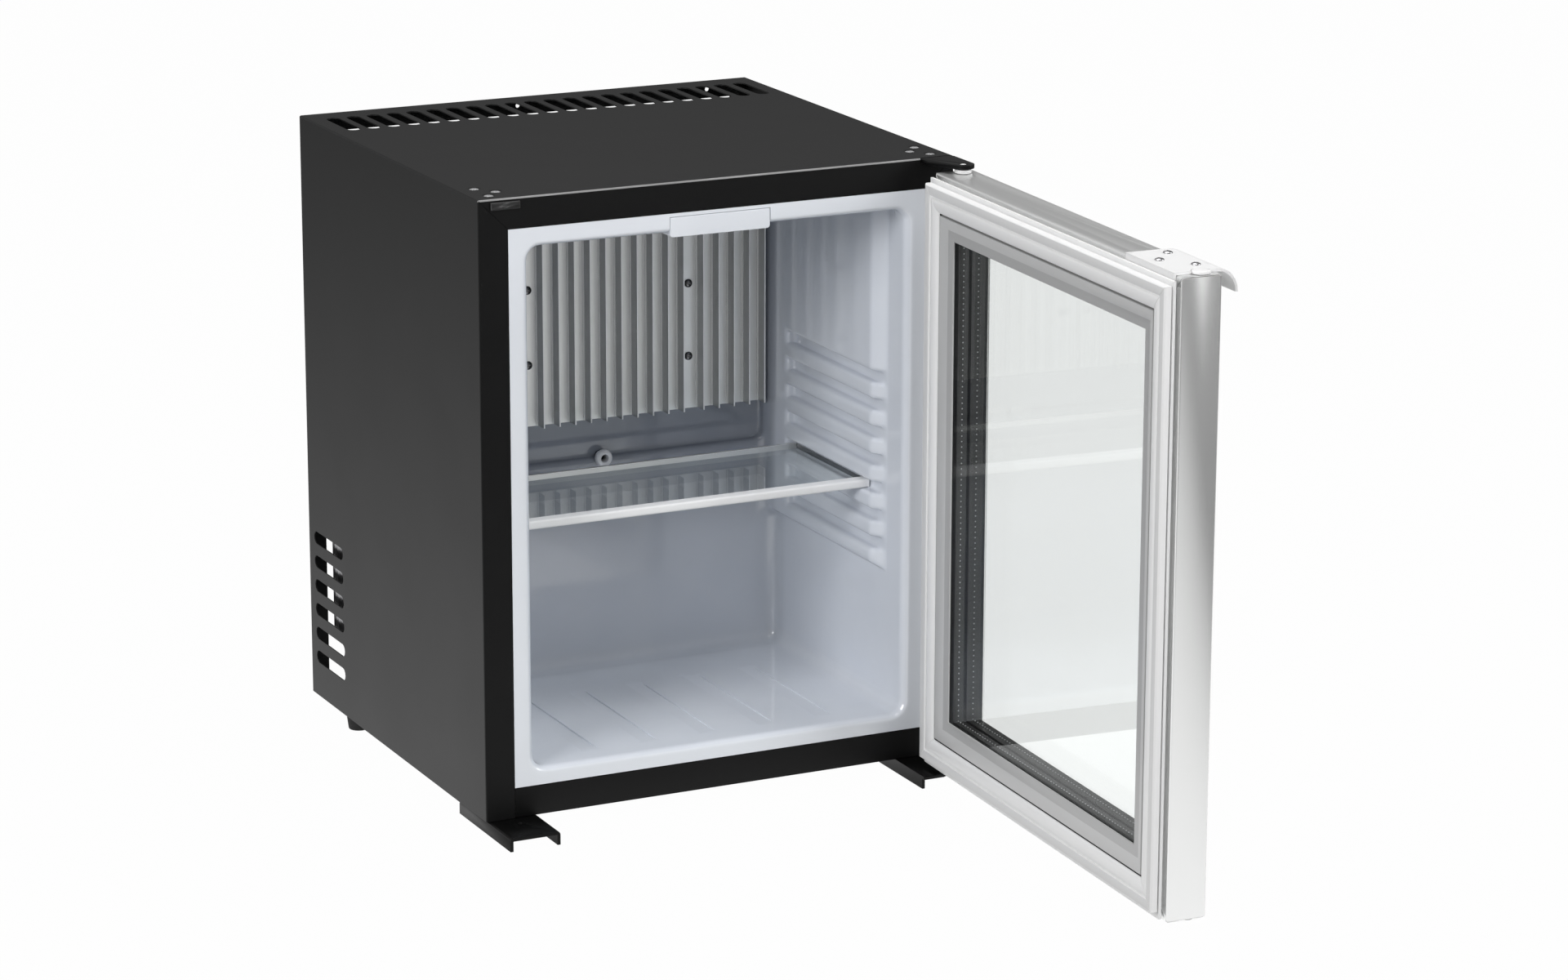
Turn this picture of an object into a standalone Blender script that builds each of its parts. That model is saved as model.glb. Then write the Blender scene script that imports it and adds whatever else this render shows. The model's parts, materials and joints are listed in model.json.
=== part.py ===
# Absorption minibar fridge with a triple-glazed door, standing open at its rest angle.
# Metres, +Z up. X runs towards the hinge side and Y towards the back. The frame's origin is
# the middle of the casing's underside. Inside each group, Y is counted from the casing's front.
import math

import bmesh
import bpy
from mathutils import Matrix, Vector

# Gaps: between touching pieces, and between pieces that run past one another
FIT = 0.0003
RUN = 0.0006

# Outer casing, folded from one sheet over the top and both sides
CASING_WIDTH = 0.402
CASING_HEIGHT = 0.489
SHEET = 0.001
CASING_EDGE = 0.0012
FRONT_FLANGE = 0.024
REAR_FLANGE = 0.015
FLOOR_FLANGE = 0.0475
RAIL_FOLD = 0.008
PANEL_UPSTAND = 0.012

# Insulated box and the bay for the cooling unit behind it
BOX_DEPTH = 0.283
BAY_DEPTH = 0.092
BACK_SHEET = 0.001
SIDE_INSULATION = 0.041
REAR_INSULATION = 0.053
TOP_INSULATION = 0.0395

# Vent slots
TOP_SLOT_COUNT = 22
TOP_SLOT_MARGIN = 0.019
TOP_SLOT_WIDTH = 0.0114
TOP_SLOT_LENGTH = 0.056
TOP_SLOT_INSET = 0.050
SIDE_SLOT_COUNT = 6
SIDE_SLOT_PITCH = 0.0206
SIDE_SLOT_HEIGHT = 0.0105
SIDE_SLOT_LENGTH = 0.065
SIDE_SLOT_INSET = 0.045
SIDE_SLOT_LOWEST = 0.0345
REAR_HOLE_RADIUS = 0.002

# Inner liner
LINER_FLOOR_Z = 0.0375
LINER_WALL = 0.002
LINER_FLOOR_WALL = 0.005
LINER_CORNER = 0.009
MOUTH_FLARE = 0.0035
MOUTH_RISE = 0.001
MOUTH_DEPTH = 0.005
PAD_STEP = 0.009
PAD_FOOT_DROP = 0.0216
PAD_FOOT_RISE = 0.006
PAD_FRONT_Y = 0.043
PAD_RAMP = 0.013
GROOVE_COUNT = 7
GROOVE_PITCH = 0.02275
GROOVE_HEIGHT = 0.009
GROOVE_LOWEST_Z = 0.1706
GROOVE_STOP = 0.037
GROOVE_DEPTH = 0.0085
FLOOR_GROOVE_COUNT = 5
FLOOR_GROOVE_PITCH = 0.051
FLOOR_GROOVE_WIDTH = 0.014
FLOOR_GROOVE_DEPTH = 0.003
FLOOR_GROOVE_FRONT_Y = 0.025
FLOOR_GROOVE_STOP = 0.062
POCKET_MARGIN = 0.013
POCKET_LOW_Z = 0.2135
POCKET_DROP = 0.002
POCKET_DEPTH = 0.006
POCKET_CORNER = 0.008

# Finned evaporator plate
FIN_PLATE = 0.002
FIN_DEPTH = 0.0117
FIN_THICK = 0.0012
FIN_COUNT = 21
FIN_CHANNEL_EXTRA = 0.004
FIN_CHANNELS = (5, 15)
FIN_LEFT_MARGIN = 0.0065
FIN_RIGHT_MARGIN = 0.0015
FIN_START = 0.032
EVAPORATOR_SCREW_HEAD = 0.0024
EVAPORATOR_SCREW_RISES = ((0.0441, 0.1053), (0.0510, 0.1132))

# Lamp cover under the ceiling
LAMP_WIDTH = 0.0845
LAMP_CENTRE_X = -0.00075
LAMP_DROP = 0.0035
LAMP_HEIGHT = 0.0156
LAMP_DEPTH = 0.150
LAMP_WALL = 0.0015

# Drain
DRAIN_X = 0.0016
DRAIN_Z = 0.2133
DRAIN_RADIUS = 0.00725
DRAIN_LIP = 0.0062
DRAIN_BORE = 0.00325
DRAIN_PROUD = 0.005
HOSE_RADIUS = 0.005

# Hinge line and brackets
HINGE_INSET = 0.009
PIN_RADIUS = 0.003
PLATE = 0.003
BRACKET_WALL = 0.0026
TOP_ARM_WIDTH = 0.020
TOP_ARM_NOSE = 0.0088
TOP_ARM_REAR_Y = 0.050
BRACKET_OUTER_X = 0.0022
BRACKET_WIDTH = 0.0455
BRACKET_SHOULDER = 0.018
BRACKET_REAR_Y = 0.060
BRACKET_REACH = 0.016
BRACKET_NOSE = 0.0085
LEFT_BRACKET_INSET = 0.044
LEFT_BRACKET_FRONT_Y = -0.042
LEFT_BRACKET_BEND = 0.003
LEFT_HOLE_INSET = 0.023
LEFT_HOLE_Y = -0.013
LEFT_HOLE_RADIUS = 0.00225
FOOT_DROP = 0.0115
PLUG_WIDTH = 0.024
PLUG_HEIGHT = 0.006
PLUG_INSET = 0.010
PLUG_DROP = 0.0055

# Rear feet
FOOT_INSET = 0.0105
FOOT_SETBACK = 0.013
FOOT_TOP_RADIUS = 0.010
FOOT_SOLE_RADIUS = 0.0085

# Door, measured from the hinge axis: U towards the free edge, K towards the cabinet
DOOR_REST_ANGLE = 87.6
DOOR_HINGE_EDGE = 0.009
DOOR_SIDE_ROOM = 0.0088
DOOR_LOW_Z = 0.0014
DOOR_DROP = 0.0073
MITRE_GAP = 0.00025
DOOR_FRONT_K = -0.0128
DOOR_REAR_K = 0.0195
RAIL_BODY = 0.014
RAIL_WALL = 0.0015
RAIL_LIP = 0.033
RAIL_LIP_THICK = 0.002
RAIL_EDGE = 0.001
WINDOW_HINGE_MARGIN = 0.0461
WINDOW_FREE_MARGIN = 0.0415
WINDOW_LOW_MARGIN = 0.0479
WINDOW_TOP_MARGIN = 0.045
BEAD_WIDTH = 0.018
BEAD_EDGE_K = 0.0257
BEAD_OUTER_K = 0.029
BEAD_BASE = 0.0017
RAIL_LEG_OUTER = 0.0095
RAIL_LEG_INNER = 0.0135
GASKET_HINGE_MARGIN = 0.0068
GASKET_FREE_MARGIN = 0.0022
GASKET_LOW_MARGIN = 0.0086
GASKET_TOP_MARGIN = 0.0057
GASKET_WIDTH = 0.0213
GASKET_FACE_K = 0.0317
GASKET_LIP = 0.008
GASKET_EDGE = 0.0007
GASKET_GROOVE = 0.0015
GASKET_GROOVE_WIDTH = 0.0024
OUTER_PANE_K = -0.006
OUTER_PANE = 0.0037
MIDDLE_PANE_K = 0.0095
MIDDLE_PANE = 0.0022
INNER_PANE_K = 0.021
INNER_PANE = 0.003
SPACER_WIDTH = 0.008
GLAZING_SEAL_WIDTH = 0.009

# Handle and the small parts on the door's ends
HANDLE_LENGTH = 0.073
HANDLE_END = 0.0082
HANDLE_PLATE = 0.002
HANDLE_REAR_LEG = 0.002
HANDLE_DROP = 0.0055
HANDLE_LIP_REACH = 0.0172
HANDLE_LIP_DROP = 0.0157
HANDLE_LIP_THICK = 0.0018
HANDLE_SCREWS = ((0.0597, -0.0054), (0.0411, 0.0113), (0.0181, -0.0056))
SCREW_SHANK = 0.0018
SCREW_HEAD = 0.0036
SCREW_CROWN = 0.0025
SCREW_HEAD_HEIGHT = 0.0014
BUSH_RADIUS = 0.005
BUSH_DEPTH = 0.008
BUSH_COLLAR = 0.00675
FREE_PLUG_RADIUS = 0.007
FREE_PLUG_HEIGHT = 0.0025

# Shelf in the fifth groove from the top, with two grooves below it
LOWER_GROOVE_COUNT = 2
SHELF_SIDE_ROOM = 0.001
SHELF_FRONT_Y = 0.057
SHELF_REAR_ROOM = 0.002
SHELF_GLASS = 0.004
SHELF_TRIM_HEIGHT = 0.0068
SHELF_TRIM_DEPTH = 0.010
SHELF_REAR_TRIM_DEPTH = 0.007
SHELF_BITE = 0.005

# Cooling unit in the rear bay
UNIT_SETBACK = 0.048
JACKET_INSET = 0.036
JACKET_RADIUS = 0.030
JACKET_LOW_Z = 0.055
PUMP_RISE = 0.098
PUMP_RUN = 0.055
PUMP_BEND = 0.025
PUMP_TUBE_RADIUS = 0.007
CONDENSER_DROP = 0.061
FIN_SHEET_COUNT = 12
FIN_SHEET = 0.0012
FIN_SHEET_HALF_Y = 0.026
FIN_SHEET_HALF_Z = 0.022
VESSEL_START = 0.040
VESSEL_ROOM = 0.014
VESSEL_Z = 0.062
VESSEL_RADIUS = 0.027
VESSEL_DOME = 0.010
COIL_START = 0.087
COIL_LOW_Z = 0.125
COIL_RUNS = 6
COIL_TOP_DROP = 0.025
COIL_SLOPE = 0.010
COIL_RADIUS = 0.008
PLUG_BLOCK_MARGIN = 0.027
PLUG_BLOCK_RISE = 0.032
PLUG_BLOCK_DROP = 0.0095
PLUG_BLOCK_FLANGE = 0.012
PLUG_BLOCK_PROUD = 0.008
RECESS_RISE = 0.0125
COLD_TUBE_RADIUS = 0.006
COLD_RISER_INSET = 0.051
COLD_RISER_ROOM = 0.030
COLD_LEG_INSET = 0.016
CONTROL_WIDTH = 0.076
CONTROL_INSET = 0.021
CONTROL_DEPTH = 0.069
CONTROL_LOW_Z = 0.016
CONTROL_HEIGHT = 0.080
TRAY_SIDE_ROOM = 0.015
TRAY_FRONT_ROOM = 0.008
TRAY_REACH = 0.0216
TRAY_WALL = 0.0015
TRAY_HEIGHT = 0.016
HEATER_RADIUS = 0.007
HEATER_LENGTH = 0.034
ARM_WIDTH = 0.020
ARM_INSET = 0.030

# Casing and liner, worked out
CASING_HALF = CASING_WIDTH / 2
CASING_DEPTH = BOX_DEPTH + BAY_DEPTH
INNER_HALF = CASING_HALF - SHEET
WINDOW_HALF = CASING_HALF - FRONT_FLANGE
WINDOW_TOP = CASING_HEIGHT - FRONT_FLANGE
FLOOR_HALF = CASING_HALF - FLOOR_FLANGE
BAY_Y = BOX_DEPTH + BACK_SHEET
TOP_SLOT_PITCH = (CASING_WIDTH - TOP_SLOT_MARGIN * 2) / (TOP_SLOT_COUNT - 1)
TOP_SLOT_Y = CASING_DEPTH - TOP_SLOT_INSET
SIDE_SLOT_Y = CASING_DEPTH - SIDE_SLOT_INSET
LINER_HALF = CASING_HALF - SIDE_INSULATION
LINER_BACK_Y = BOX_DEPTH - REAR_INSULATION
LINER_CEILING_Z = CASING_HEIGHT - TOP_INSULATION
PAD_HALF = LINER_HALF - PAD_STEP
PAD_FOOT_Z = GROOVE_LOWEST_Z - PAD_FOOT_DROP
GROOVE_END_Y = LINER_BACK_Y - GROOVE_STOP
FLOOR_GROOVE_REAR_Y = LINER_BACK_Y - FLOOR_GROOVE_STOP
POCKET_HALF = LINER_HALF - POCKET_MARGIN
POCKET_TOP_Z = LINER_CEILING_Z - POCKET_DROP
POCKET_Y = LINER_BACK_Y + POCKET_DEPTH
FIN_SPAN = POCKET_HALF * 2 - FIN_LEFT_MARGIN - FIN_RIGHT_MARGIN
FIN_PITCH = (FIN_SPAN - FIN_CHANNEL_EXTRA * len(FIN_CHANNELS)) / (FIN_COUNT - 1)
FIN_LAST_X = POCKET_HALF - FIN_RIGHT_MARGIN
FIN_LOW_Z = POCKET_LOW_Z + FIN_START
LAMP_LOW_Z = LINER_CEILING_Z - LAMP_DROP

# Hinge line, brackets and feet, worked out
HINGE_X = CASING_HALF - HINGE_INSET
HINGE_Y = -GASKET_FACE_K - FIT
TOP_ARM_LEFT_X = HINGE_X - TOP_ARM_WIDTH
BRACKET_FRONT_Y = HINGE_Y - BRACKET_REACH
BRACKET_TOP = -FIT
ARM_TOP = CASING_HEIGHT - FIT / 2
ARM_LOW = ARM_TOP - PLATE
LEFT_BRACKET_INNER_X = LEFT_BRACKET_INSET - CASING_HALF
LEFT_HOLE_X = LEFT_HOLE_INSET - CASING_HALF
PLUG_LEFT_X = PLUG_INSET - CASING_HALF
PLUG_Z = CASING_HEIGHT - PLUG_DROP
FOOT_X = CASING_HALF - FOOT_INSET
FOOT_Y = BOX_DEPTH + FOOT_SETBACK

# Door, worked out: ranges along U and Z
DOOR_FREE_EDGE = CASING_WIDTH - DOOR_SIDE_ROOM
DOOR_TOP_Z = CASING_HEIGHT - DOOR_DROP
DOOR_U = (-DOOR_HINGE_EDGE, DOOR_FREE_EDGE)
DOOR_Z = (DOOR_LOW_Z, DOOR_TOP_Z)
WINDOW_U = (WINDOW_HINGE_MARGIN - DOOR_HINGE_EDGE, DOOR_FREE_EDGE - WINDOW_FREE_MARGIN)
WINDOW_Z = (DOOR_LOW_Z + WINDOW_LOW_MARGIN, DOOR_TOP_Z - WINDOW_TOP_MARGIN)
GASKET_U = (GASKET_HINGE_MARGIN - DOOR_HINGE_EDGE, DOOR_FREE_EDGE - GASKET_FREE_MARGIN)
GASKET_Z = (DOOR_LOW_Z + GASKET_LOW_MARGIN, DOOR_TOP_Z - GASKET_TOP_MARGIN)
PANE_INSET = RAIL_BODY + FIT
FREE_PLUG_U = DOOR_FREE_EDGE - HANDLE_END
HANDLE_U = (FREE_PLUG_U - HANDLE_LENGTH, FREE_PLUG_U)
HANDLE_LIP_K = DOOR_FRONT_K - HANDLE_LIP_REACH
HANDLE_LIP_Z = DOOR_TOP_Z - HANDLE_LIP_DROP
HANDLE_REAR_K = DOOR_REAR_K + HANDLE_REAR_LEG

# Shelf, worked out
SHELF_HALF = PAD_HALF + GROOVE_DEPTH - SHELF_SIDE_ROOM
SHELF_REAR_Y = GROOVE_END_Y - SHELF_REAR_ROOM
SHELF_Z = GROOVE_LOWEST_Z + LOWER_GROOVE_COUNT * GROOVE_PITCH - GROOVE_HEIGHT / 2 + FIT

# Cooling unit, worked out
UNIT_Y = BOX_DEPTH + UNIT_SETBACK
JACKET_X = JACKET_INSET - CASING_HALF
CONDENSER_Z = CASING_HEIGHT - CONDENSER_DROP
JACKET_TOP_Z = CONDENSER_Z - PUMP_RISE
COLD_RISER_X = CASING_HALF - COLD_RISER_INSET
CONDENSER_X = (JACKET_X + PUMP_RUN, COLD_RISER_X - COLD_RISER_ROOM)
CONTROL_RIGHT_X = CASING_HALF - CONTROL_INSET
CONTROL_LEFT_X = CONTROL_RIGHT_X - CONTROL_WIDTH
VESSEL_X = (JACKET_X + VESSEL_START, CONTROL_LEFT_X - VESSEL_ROOM)
COIL_X = (JACKET_X + COIL_START, COLD_RISER_X - PUMP_BEND)
COIL_RUN_PITCH = (JACKET_TOP_Z - COIL_TOP_DROP - COIL_LOW_Z) / (COIL_RUNS - 1)
TRAY_HALF = -COIL_X[0] - COIL_RADIUS - TRAY_SIDE_ROOM
RECESS_LOW_Z = POCKET_LOW_Z + RECESS_RISE
PLUG_BLOCK_X = POCKET_HALF - PLUG_BLOCK_MARGIN
PLUG_BLOCK_Z = (RECESS_LOW_Z + PLUG_BLOCK_RISE, LINER_CEILING_Z - PLUG_BLOCK_DROP)
COLD_LEG_X = PLUG_BLOCK_X - COLD_LEG_INSET


def clear_objects():
    for item in list(bpy.data.objects):
        bpy.data.objects.remove(item, do_unlink=True)


def new_collection(name):
    group = bpy.data.collections.new(name)
    bpy.context.scene.collection.children.link(group)
    return group


clear_objects()
PARTS = new_collection("minibar_fridge")
CUTTERS = new_collection("cutters")


def look(name, color, roughness, metallic=0.0, alpha=1.0):
    surface = bpy.data.materials.new(name)
    surface.use_nodes = True
    shader = surface.node_tree.nodes["Principled BSDF"]
    shader.inputs["Base Color"].default_value = (*color, 1.0)
    shader.inputs["Roughness"].default_value = roughness
    shader.inputs["Metallic"].default_value = metallic
    shader.inputs["Alpha"].default_value = alpha
    return surface


def holder(name, place, parent=None, turn=0.0):
    # An empty that carries a group of pieces
    empty = bpy.data.objects.new(name, None)
    empty.empty_display_size = 0.05
    empty.location = place
    empty.rotation_euler = (0.0, 0.0, math.radians(turn))
    empty.parent = parent
    PARTS.objects.link(empty)
    return empty


def keep(piece, parent, surface):
    # Adds a finished piece to the object
    piece.data.name = piece.name
    piece.parent = parent
    piece.data.materials.append(surface)
    PARTS.objects.link(piece)
    return piece


def change(piece, tool, operation):
    # Cuts or joins a piece with a tool that moves with it
    tool.parent = piece.parent
    tool.hide_render = True
    tool.display_type = "WIRE"
    CUTTERS.objects.link(tool)
    modifier = piece.modifiers.new(tool.name, "BOOLEAN")
    modifier.operation = operation
    modifier.object = tool


def cut(piece, tool):
    change(piece, tool, "DIFFERENCE")


def fuse(piece, tool):
    change(piece, tool, "UNION")


def from_bmesh(name, shape, place=(0, 0, 0)):
    mesh = bpy.data.meshes.new(name)
    shape.to_mesh(mesh)
    shape.free()
    piece = bpy.data.objects.new(name, mesh)
    piece.location = place
    return piece


def block(name, low, high):
    # A box between two corners, with its origin at its middle
    low = Vector(low)
    high = Vector(high)
    shape = bmesh.new()
    bmesh.ops.create_cube(shape, size=1.0)
    bmesh.ops.scale(shape, vec=high - low, verts=shape.verts)
    return from_bmesh(name, shape, (low + high) / 2)


def blocks(name, corners):
    # Several boxes in one mesh, each given by its two corners
    shape = bmesh.new()
    for low, high in corners:
        low = Vector(low)
        high = Vector(high)
        made = bmesh.ops.create_cube(shape, size=1.0)
        bmesh.ops.scale(shape, vec=high - low, verts=made["verts"])
        bmesh.ops.translate(shape, vec=(low + high) / 2, verts=made["verts"])
    return from_bmesh(name, shape)


def round_edges(piece, radius, segments, chosen):
    # Rounds the edges whose two ends are both chosen
    shape = bmesh.new()
    shape.from_mesh(piece.data)
    edges = [edge for edge in shape.edges if chosen(edge.verts[0].co, edge.verts[1].co)]
    bmesh.ops.bevel(shape, geom=edges, offset=radius, segments=segments, profile=0.5, affect="EDGES")
    shape.to_mesh(piece.data)
    shape.free()


def along(axis):
    # Chooses the edges that run along one axis: 0 is X, 1 is Y, 2 is Z
    return lambda start, end: (end - start).length - abs(end[axis] - start[axis]) < 1e-6


TURNS = {
    "X": Matrix.Rotation(math.pi / 2, 3, "Y"),
    "Y": Matrix.Rotation(-math.pi / 2, 3, "X"),
    "Z": Matrix.Identity(3),
}


def rod(name, radius, place, length, axis="Z", sides=24, end_radius=None):
    # A round bar or cone that runs from its place along an axis
    shape = bmesh.new()
    tip = radius if end_radius is None else end_radius
    bmesh.ops.create_cone(shape, cap_ends=True, segments=sides, radius1=radius, radius2=tip, depth=length)
    bmesh.ops.translate(shape, vec=(0, 0, length / 2), verts=shape.verts)
    bmesh.ops.rotate(shape, matrix=TURNS[axis], verts=shape.verts)
    return from_bmesh(name, shape, place)


def turned(name, profile, place, sides=32, closed=False, axis="Z"):
    # A profile of (radius, height) points, top to bottom, spun round the Z axis
    mesh = bpy.data.meshes.new(name)
    points = [(radius, 0.0, height) for radius, height in profile]
    edges = [(index, index + 1) for index in range(len(points) - 1)]
    if closed:
        edges.append((len(points) - 1, 0))
    mesh.from_pydata(points, edges, [])
    piece = bpy.data.objects.new(name, mesh)
    piece.location = place
    piece.rotation_euler = TURNS[axis].to_euler()
    spin = piece.modifiers.new("spin", "SCREW")
    spin.axis = "Z"
    spin.steps = sides
    spin.render_steps = sides
    spin.use_merge_vertices = True
    spin.merge_threshold = 0.00001
    return piece


def as_mesh(curve_piece):
    # Turns a curve object into a welded mesh object at the same place
    bpy.context.scene.collection.objects.link(curve_piece)
    bpy.context.view_layer.update()
    graph = bpy.context.evaluated_depsgraph_get()
    mesh = bpy.data.meshes.new_from_object(curve_piece.evaluated_get(graph))
    shape = bmesh.new()
    shape.from_mesh(mesh)
    bmesh.ops.remove_doubles(shape, verts=shape.verts, dist=0.000001)
    bmesh.ops.recalc_face_normals(shape, faces=shape.faces)
    shape.to_mesh(mesh)
    shape.free()
    name = curve_piece.name
    curve_piece.name = name + "_curve"
    piece = bpy.data.objects.new(name, mesh)
    piece.matrix_world = curve_piece.matrix_world.copy()
    bpy.data.objects.remove(curve_piece, do_unlink=True)
    return piece


UPRIGHT_X = (math.pi / 2, 0.0, math.pi / 2)


def sheet(name, outlines, thickness, place=(0, 0, 0), tilt=(0, 0, 0)):
    # Flat outlines filled and given a thickness, centred on the outline's plane
    curve = bpy.data.curves.new(name, "CURVE")
    curve.dimensions = "2D"
    curve.fill_mode = "BOTH"
    curve.extrude = thickness / 2
    for outline in outlines:
        spline = curve.splines.new("POLY")
        spline.points.add(len(outline) - 1)
        for point, (across, up) in zip(spline.points, outline):
            point.co = (across, up, 0.0, 1.0)
        spline.use_cyclic_u = True
    piece = bpy.data.objects.new(name, curve)
    piece.location = place
    piece.rotation_euler = tilt
    return as_mesh(piece)


def tube(name, route, radius):
    # A round tube along a list of points
    curve = bpy.data.curves.new(name, "CURVE")
    curve.dimensions = "3D"
    curve.bevel_depth = radius
    curve.bevel_resolution = 2
    curve.use_fill_caps = True
    spline = curve.splines.new("POLY")
    spline.points.add(len(route) - 1)
    for point, place in zip(spline.points, route):
        point.co = (*place, 1.0)
    return as_mesh(bpy.data.objects.new(name, curve))


def arc(centre, radius, start, end, steps):
    # Points on an arc, angles in degrees
    angles = [math.radians(start + (end - start) * step / steps) for step in range(steps + 1)]
    return [(centre[0] + radius * math.cos(a), centre[1] + radius * math.sin(a)) for a in angles]


def round_slot(centre, length, width, steps=6):
    # A slot outline that runs along its second axis, with round ends
    across, along_axis = centre
    reach = (length - width) / 2
    far_end = arc((across, along_axis + reach), width / 2, 0, 180, steps)
    near_end = arc((across, along_axis - reach), width / 2, 180, 360, steps)
    return far_end + near_end


# Surfaces
CHARCOAL = look("charcoal_enamel", (0.022, 0.022, 0.024), 0.55)
WHITE_PLASTIC = look("white_liner", (0.74, 0.77, 0.80), 0.22)
WHITE_TRIM = look("white_trim", (0.80, 0.81, 0.82), 0.35)
BLACK_PLASTIC = look("black_plastic", (0.018, 0.018, 0.019), 0.45)
BLACK_RUBBER = look("black_rubber", (0.02, 0.02, 0.02), 0.8)
GASKET_WHITE = look("gasket_white", (0.70, 0.72, 0.74), 0.5)
GREY_TRIM = look("grey_trim", (0.35, 0.36, 0.37), 0.4)
ALUMINIUM = look("aluminium", (0.72, 0.73, 0.74), 0.35, 1.0)
STEEL = look("bright_steel", (0.65, 0.65, 0.66), 0.25, 1.0)
GALVANISED = look("galvanised_steel", (0.55, 0.57, 0.58), 0.35, 1.0)
BLACK_STEEL = look("black_steel", (0.02, 0.02, 0.021), 0.5)
FOAM = look("insulation_foam", (0.75, 0.68, 0.45), 0.9)
GLASS = look("clear_glass", (0.80, 0.86, 0.86), 0.05, 0.0, 0.35)


# Casing

def casing_wrap(parent):
    wrap = block("casing_wrap", (-CASING_HALF, 0, 0), (CASING_HALF, CASING_DEPTH, CASING_HEIGHT))
    underside = -CASING_HEIGHT / 2 + SHEET
    round_edges(wrap, CASING_EDGE, 2, lambda start, end: max(start.z, end.z) > underside)
    keep(wrap, parent, CHARCOAL)
    rear = CASING_DEPTH - SHEET
    behind = CASING_DEPTH + SHEET
    below = -SHEET * 4
    cut(wrap, block("hollow", (-INNER_HALF, SHEET, SHEET), (INNER_HALF, rear, CASING_HEIGHT - SHEET)))
    cut(wrap, block("open_floor", (-FLOOR_HALF, SHEET / 2, below), (FLOOR_HALF, behind, SHEET * 2)))
    cut(wrap, block("front_window", (-WINDOW_HALF, -SHEET, below), (WINDOW_HALF, SHEET * 2, WINDOW_TOP)))
    rear_half = CASING_HALF - REAR_FLANGE
    rear_top = CASING_HEIGHT - REAR_FLANGE
    cut(wrap, block("rear_window", (-rear_half, rear - SHEET, SHEET), (rear_half, behind, rear_top)))
    cut(wrap, top_slots())
    cut(wrap, side_slots())
    cut(wrap, rear_holes())
    cut(wrap, arm_slot())
    plug_low = PLUG_Z - PLUG_HEIGHT / 2 + SHEET
    plug_top = PLUG_Z + PLUG_HEIGHT / 2 - SHEET
    plug_right = PLUG_LEFT_X + PLUG_WIDTH - SHEET
    cut(wrap, block("plug_slot", (PLUG_LEFT_X + SHEET, -SHEET, plug_low), (plug_right, SHEET * 2, plug_top)))
    return wrap


def slot_positions():
    first = -(TOP_SLOT_COUNT - 1) / 2
    return [(first + index) * TOP_SLOT_PITCH for index in range(TOP_SLOT_COUNT)]


def top_slots():
    outlines = [round_slot((x, TOP_SLOT_Y), TOP_SLOT_LENGTH, TOP_SLOT_WIDTH) for x in slot_positions()]
    return sheet("top_slots", outlines, SHEET * 6, (0, 0, CASING_HEIGHT))


def side_slots():
    # One set of prisms across the casing cuts both sides
    outlines = []
    for index in range(SIDE_SLOT_COUNT):
        height = SIDE_SLOT_LOWEST + index * SIDE_SLOT_PITCH
        slot = round_slot((0, 0), SIDE_SLOT_LENGTH, SIDE_SLOT_HEIGHT)
        outlines.append([(SIDE_SLOT_Y + reach, height + across) for across, reach in slot])
    return sheet("side_slots", outlines, CASING_WIDTH + SHEET * 8, tilt=UPRIGHT_X)


def rear_holes():
    # Screw holes in the rear flange, behind the first, middle and last but one slots
    places = slot_positions()
    middle = TOP_SLOT_COUNT // 2 - 1
    height = CASING_HEIGHT - REAR_FLANGE / 2
    outlines = []
    for index in (0, middle, TOP_SLOT_COUNT - 2):
        outlines.append(arc((places[index], height), REAR_HOLE_RADIUS, 0, 315, 7))
    return sheet("rear_holes", outlines, SHEET * 4, (0, CASING_DEPTH, 0), (math.pi / 2, 0, 0))


def arm_slot():
    low = (TOP_ARM_LEFT_X - FIT, -SHEET * 2, ARM_LOW - SHEET * 1.4)
    high = (INNER_HALF, SHEET * 3, CASING_HEIGHT + SHEET)
    return block("arm_slot", low, high)


def lower_front_rail(parent):
    half = WINDOW_HALF - FIT
    rail = block("lower_front_rail", (-half, 0, 0), (half, SHEET, FRONT_FLANGE))
    keep(rail, parent, CHARCOAL)
    fold = FRONT_FLANGE - SHEET
    fuse(rail, block("rail_fold", (-half, SHEET / 2, fold - SHEET), (half, RAIL_FOLD, fold)))
    return rail


def bottom_panel(parent):
    # It lies between the casing's two floor flanges, which carry the brackets and the feet
    half = FLOOR_HALF - FIT
    panel = block("bottom_panel", (-half, SHEET + FIT, 0), (half, BOX_DEPTH, SHEET))
    keep(panel, parent, CHARCOAL)
    low = (-half, BOX_DEPTH - SHEET, SHEET / 2)
    fuse(panel, block("rear_upstand", low, (half, BOX_DEPTH, PANEL_UPSTAND)))
    return panel


def cabinet_back_panel(parent):
    low = (-INNER_HALF + FIT, BOX_DEPTH + FIT, SHEET + FIT)
    high = (INNER_HALF - FIT, BAY_Y + FIT, CASING_HEIGHT - SHEET - FIT)
    panel = block("cabinet_back_panel", low, high)
    keep(panel, parent, GALVANISED)
    cut(panel, recess("panel_recess", BOX_DEPTH - SHEET, BAY_Y + SHEET))
    cut(panel, rod("hose_hole", HOSE_RADIUS + FIT, (DRAIN_X, BOX_DEPTH - SHEET, DRAIN_Z), SHEET * 4, "Y", 16))
    return panel


def recess(name, front, rear):
    # The opening that the cold tube and its insulating plug pass through
    low = (-PLUG_BLOCK_X - FIT, front, RECESS_LOW_Z)
    return block(name, low, (PLUG_BLOCK_X + FIT, rear, PLUG_BLOCK_Z[1] + FIT))


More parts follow.
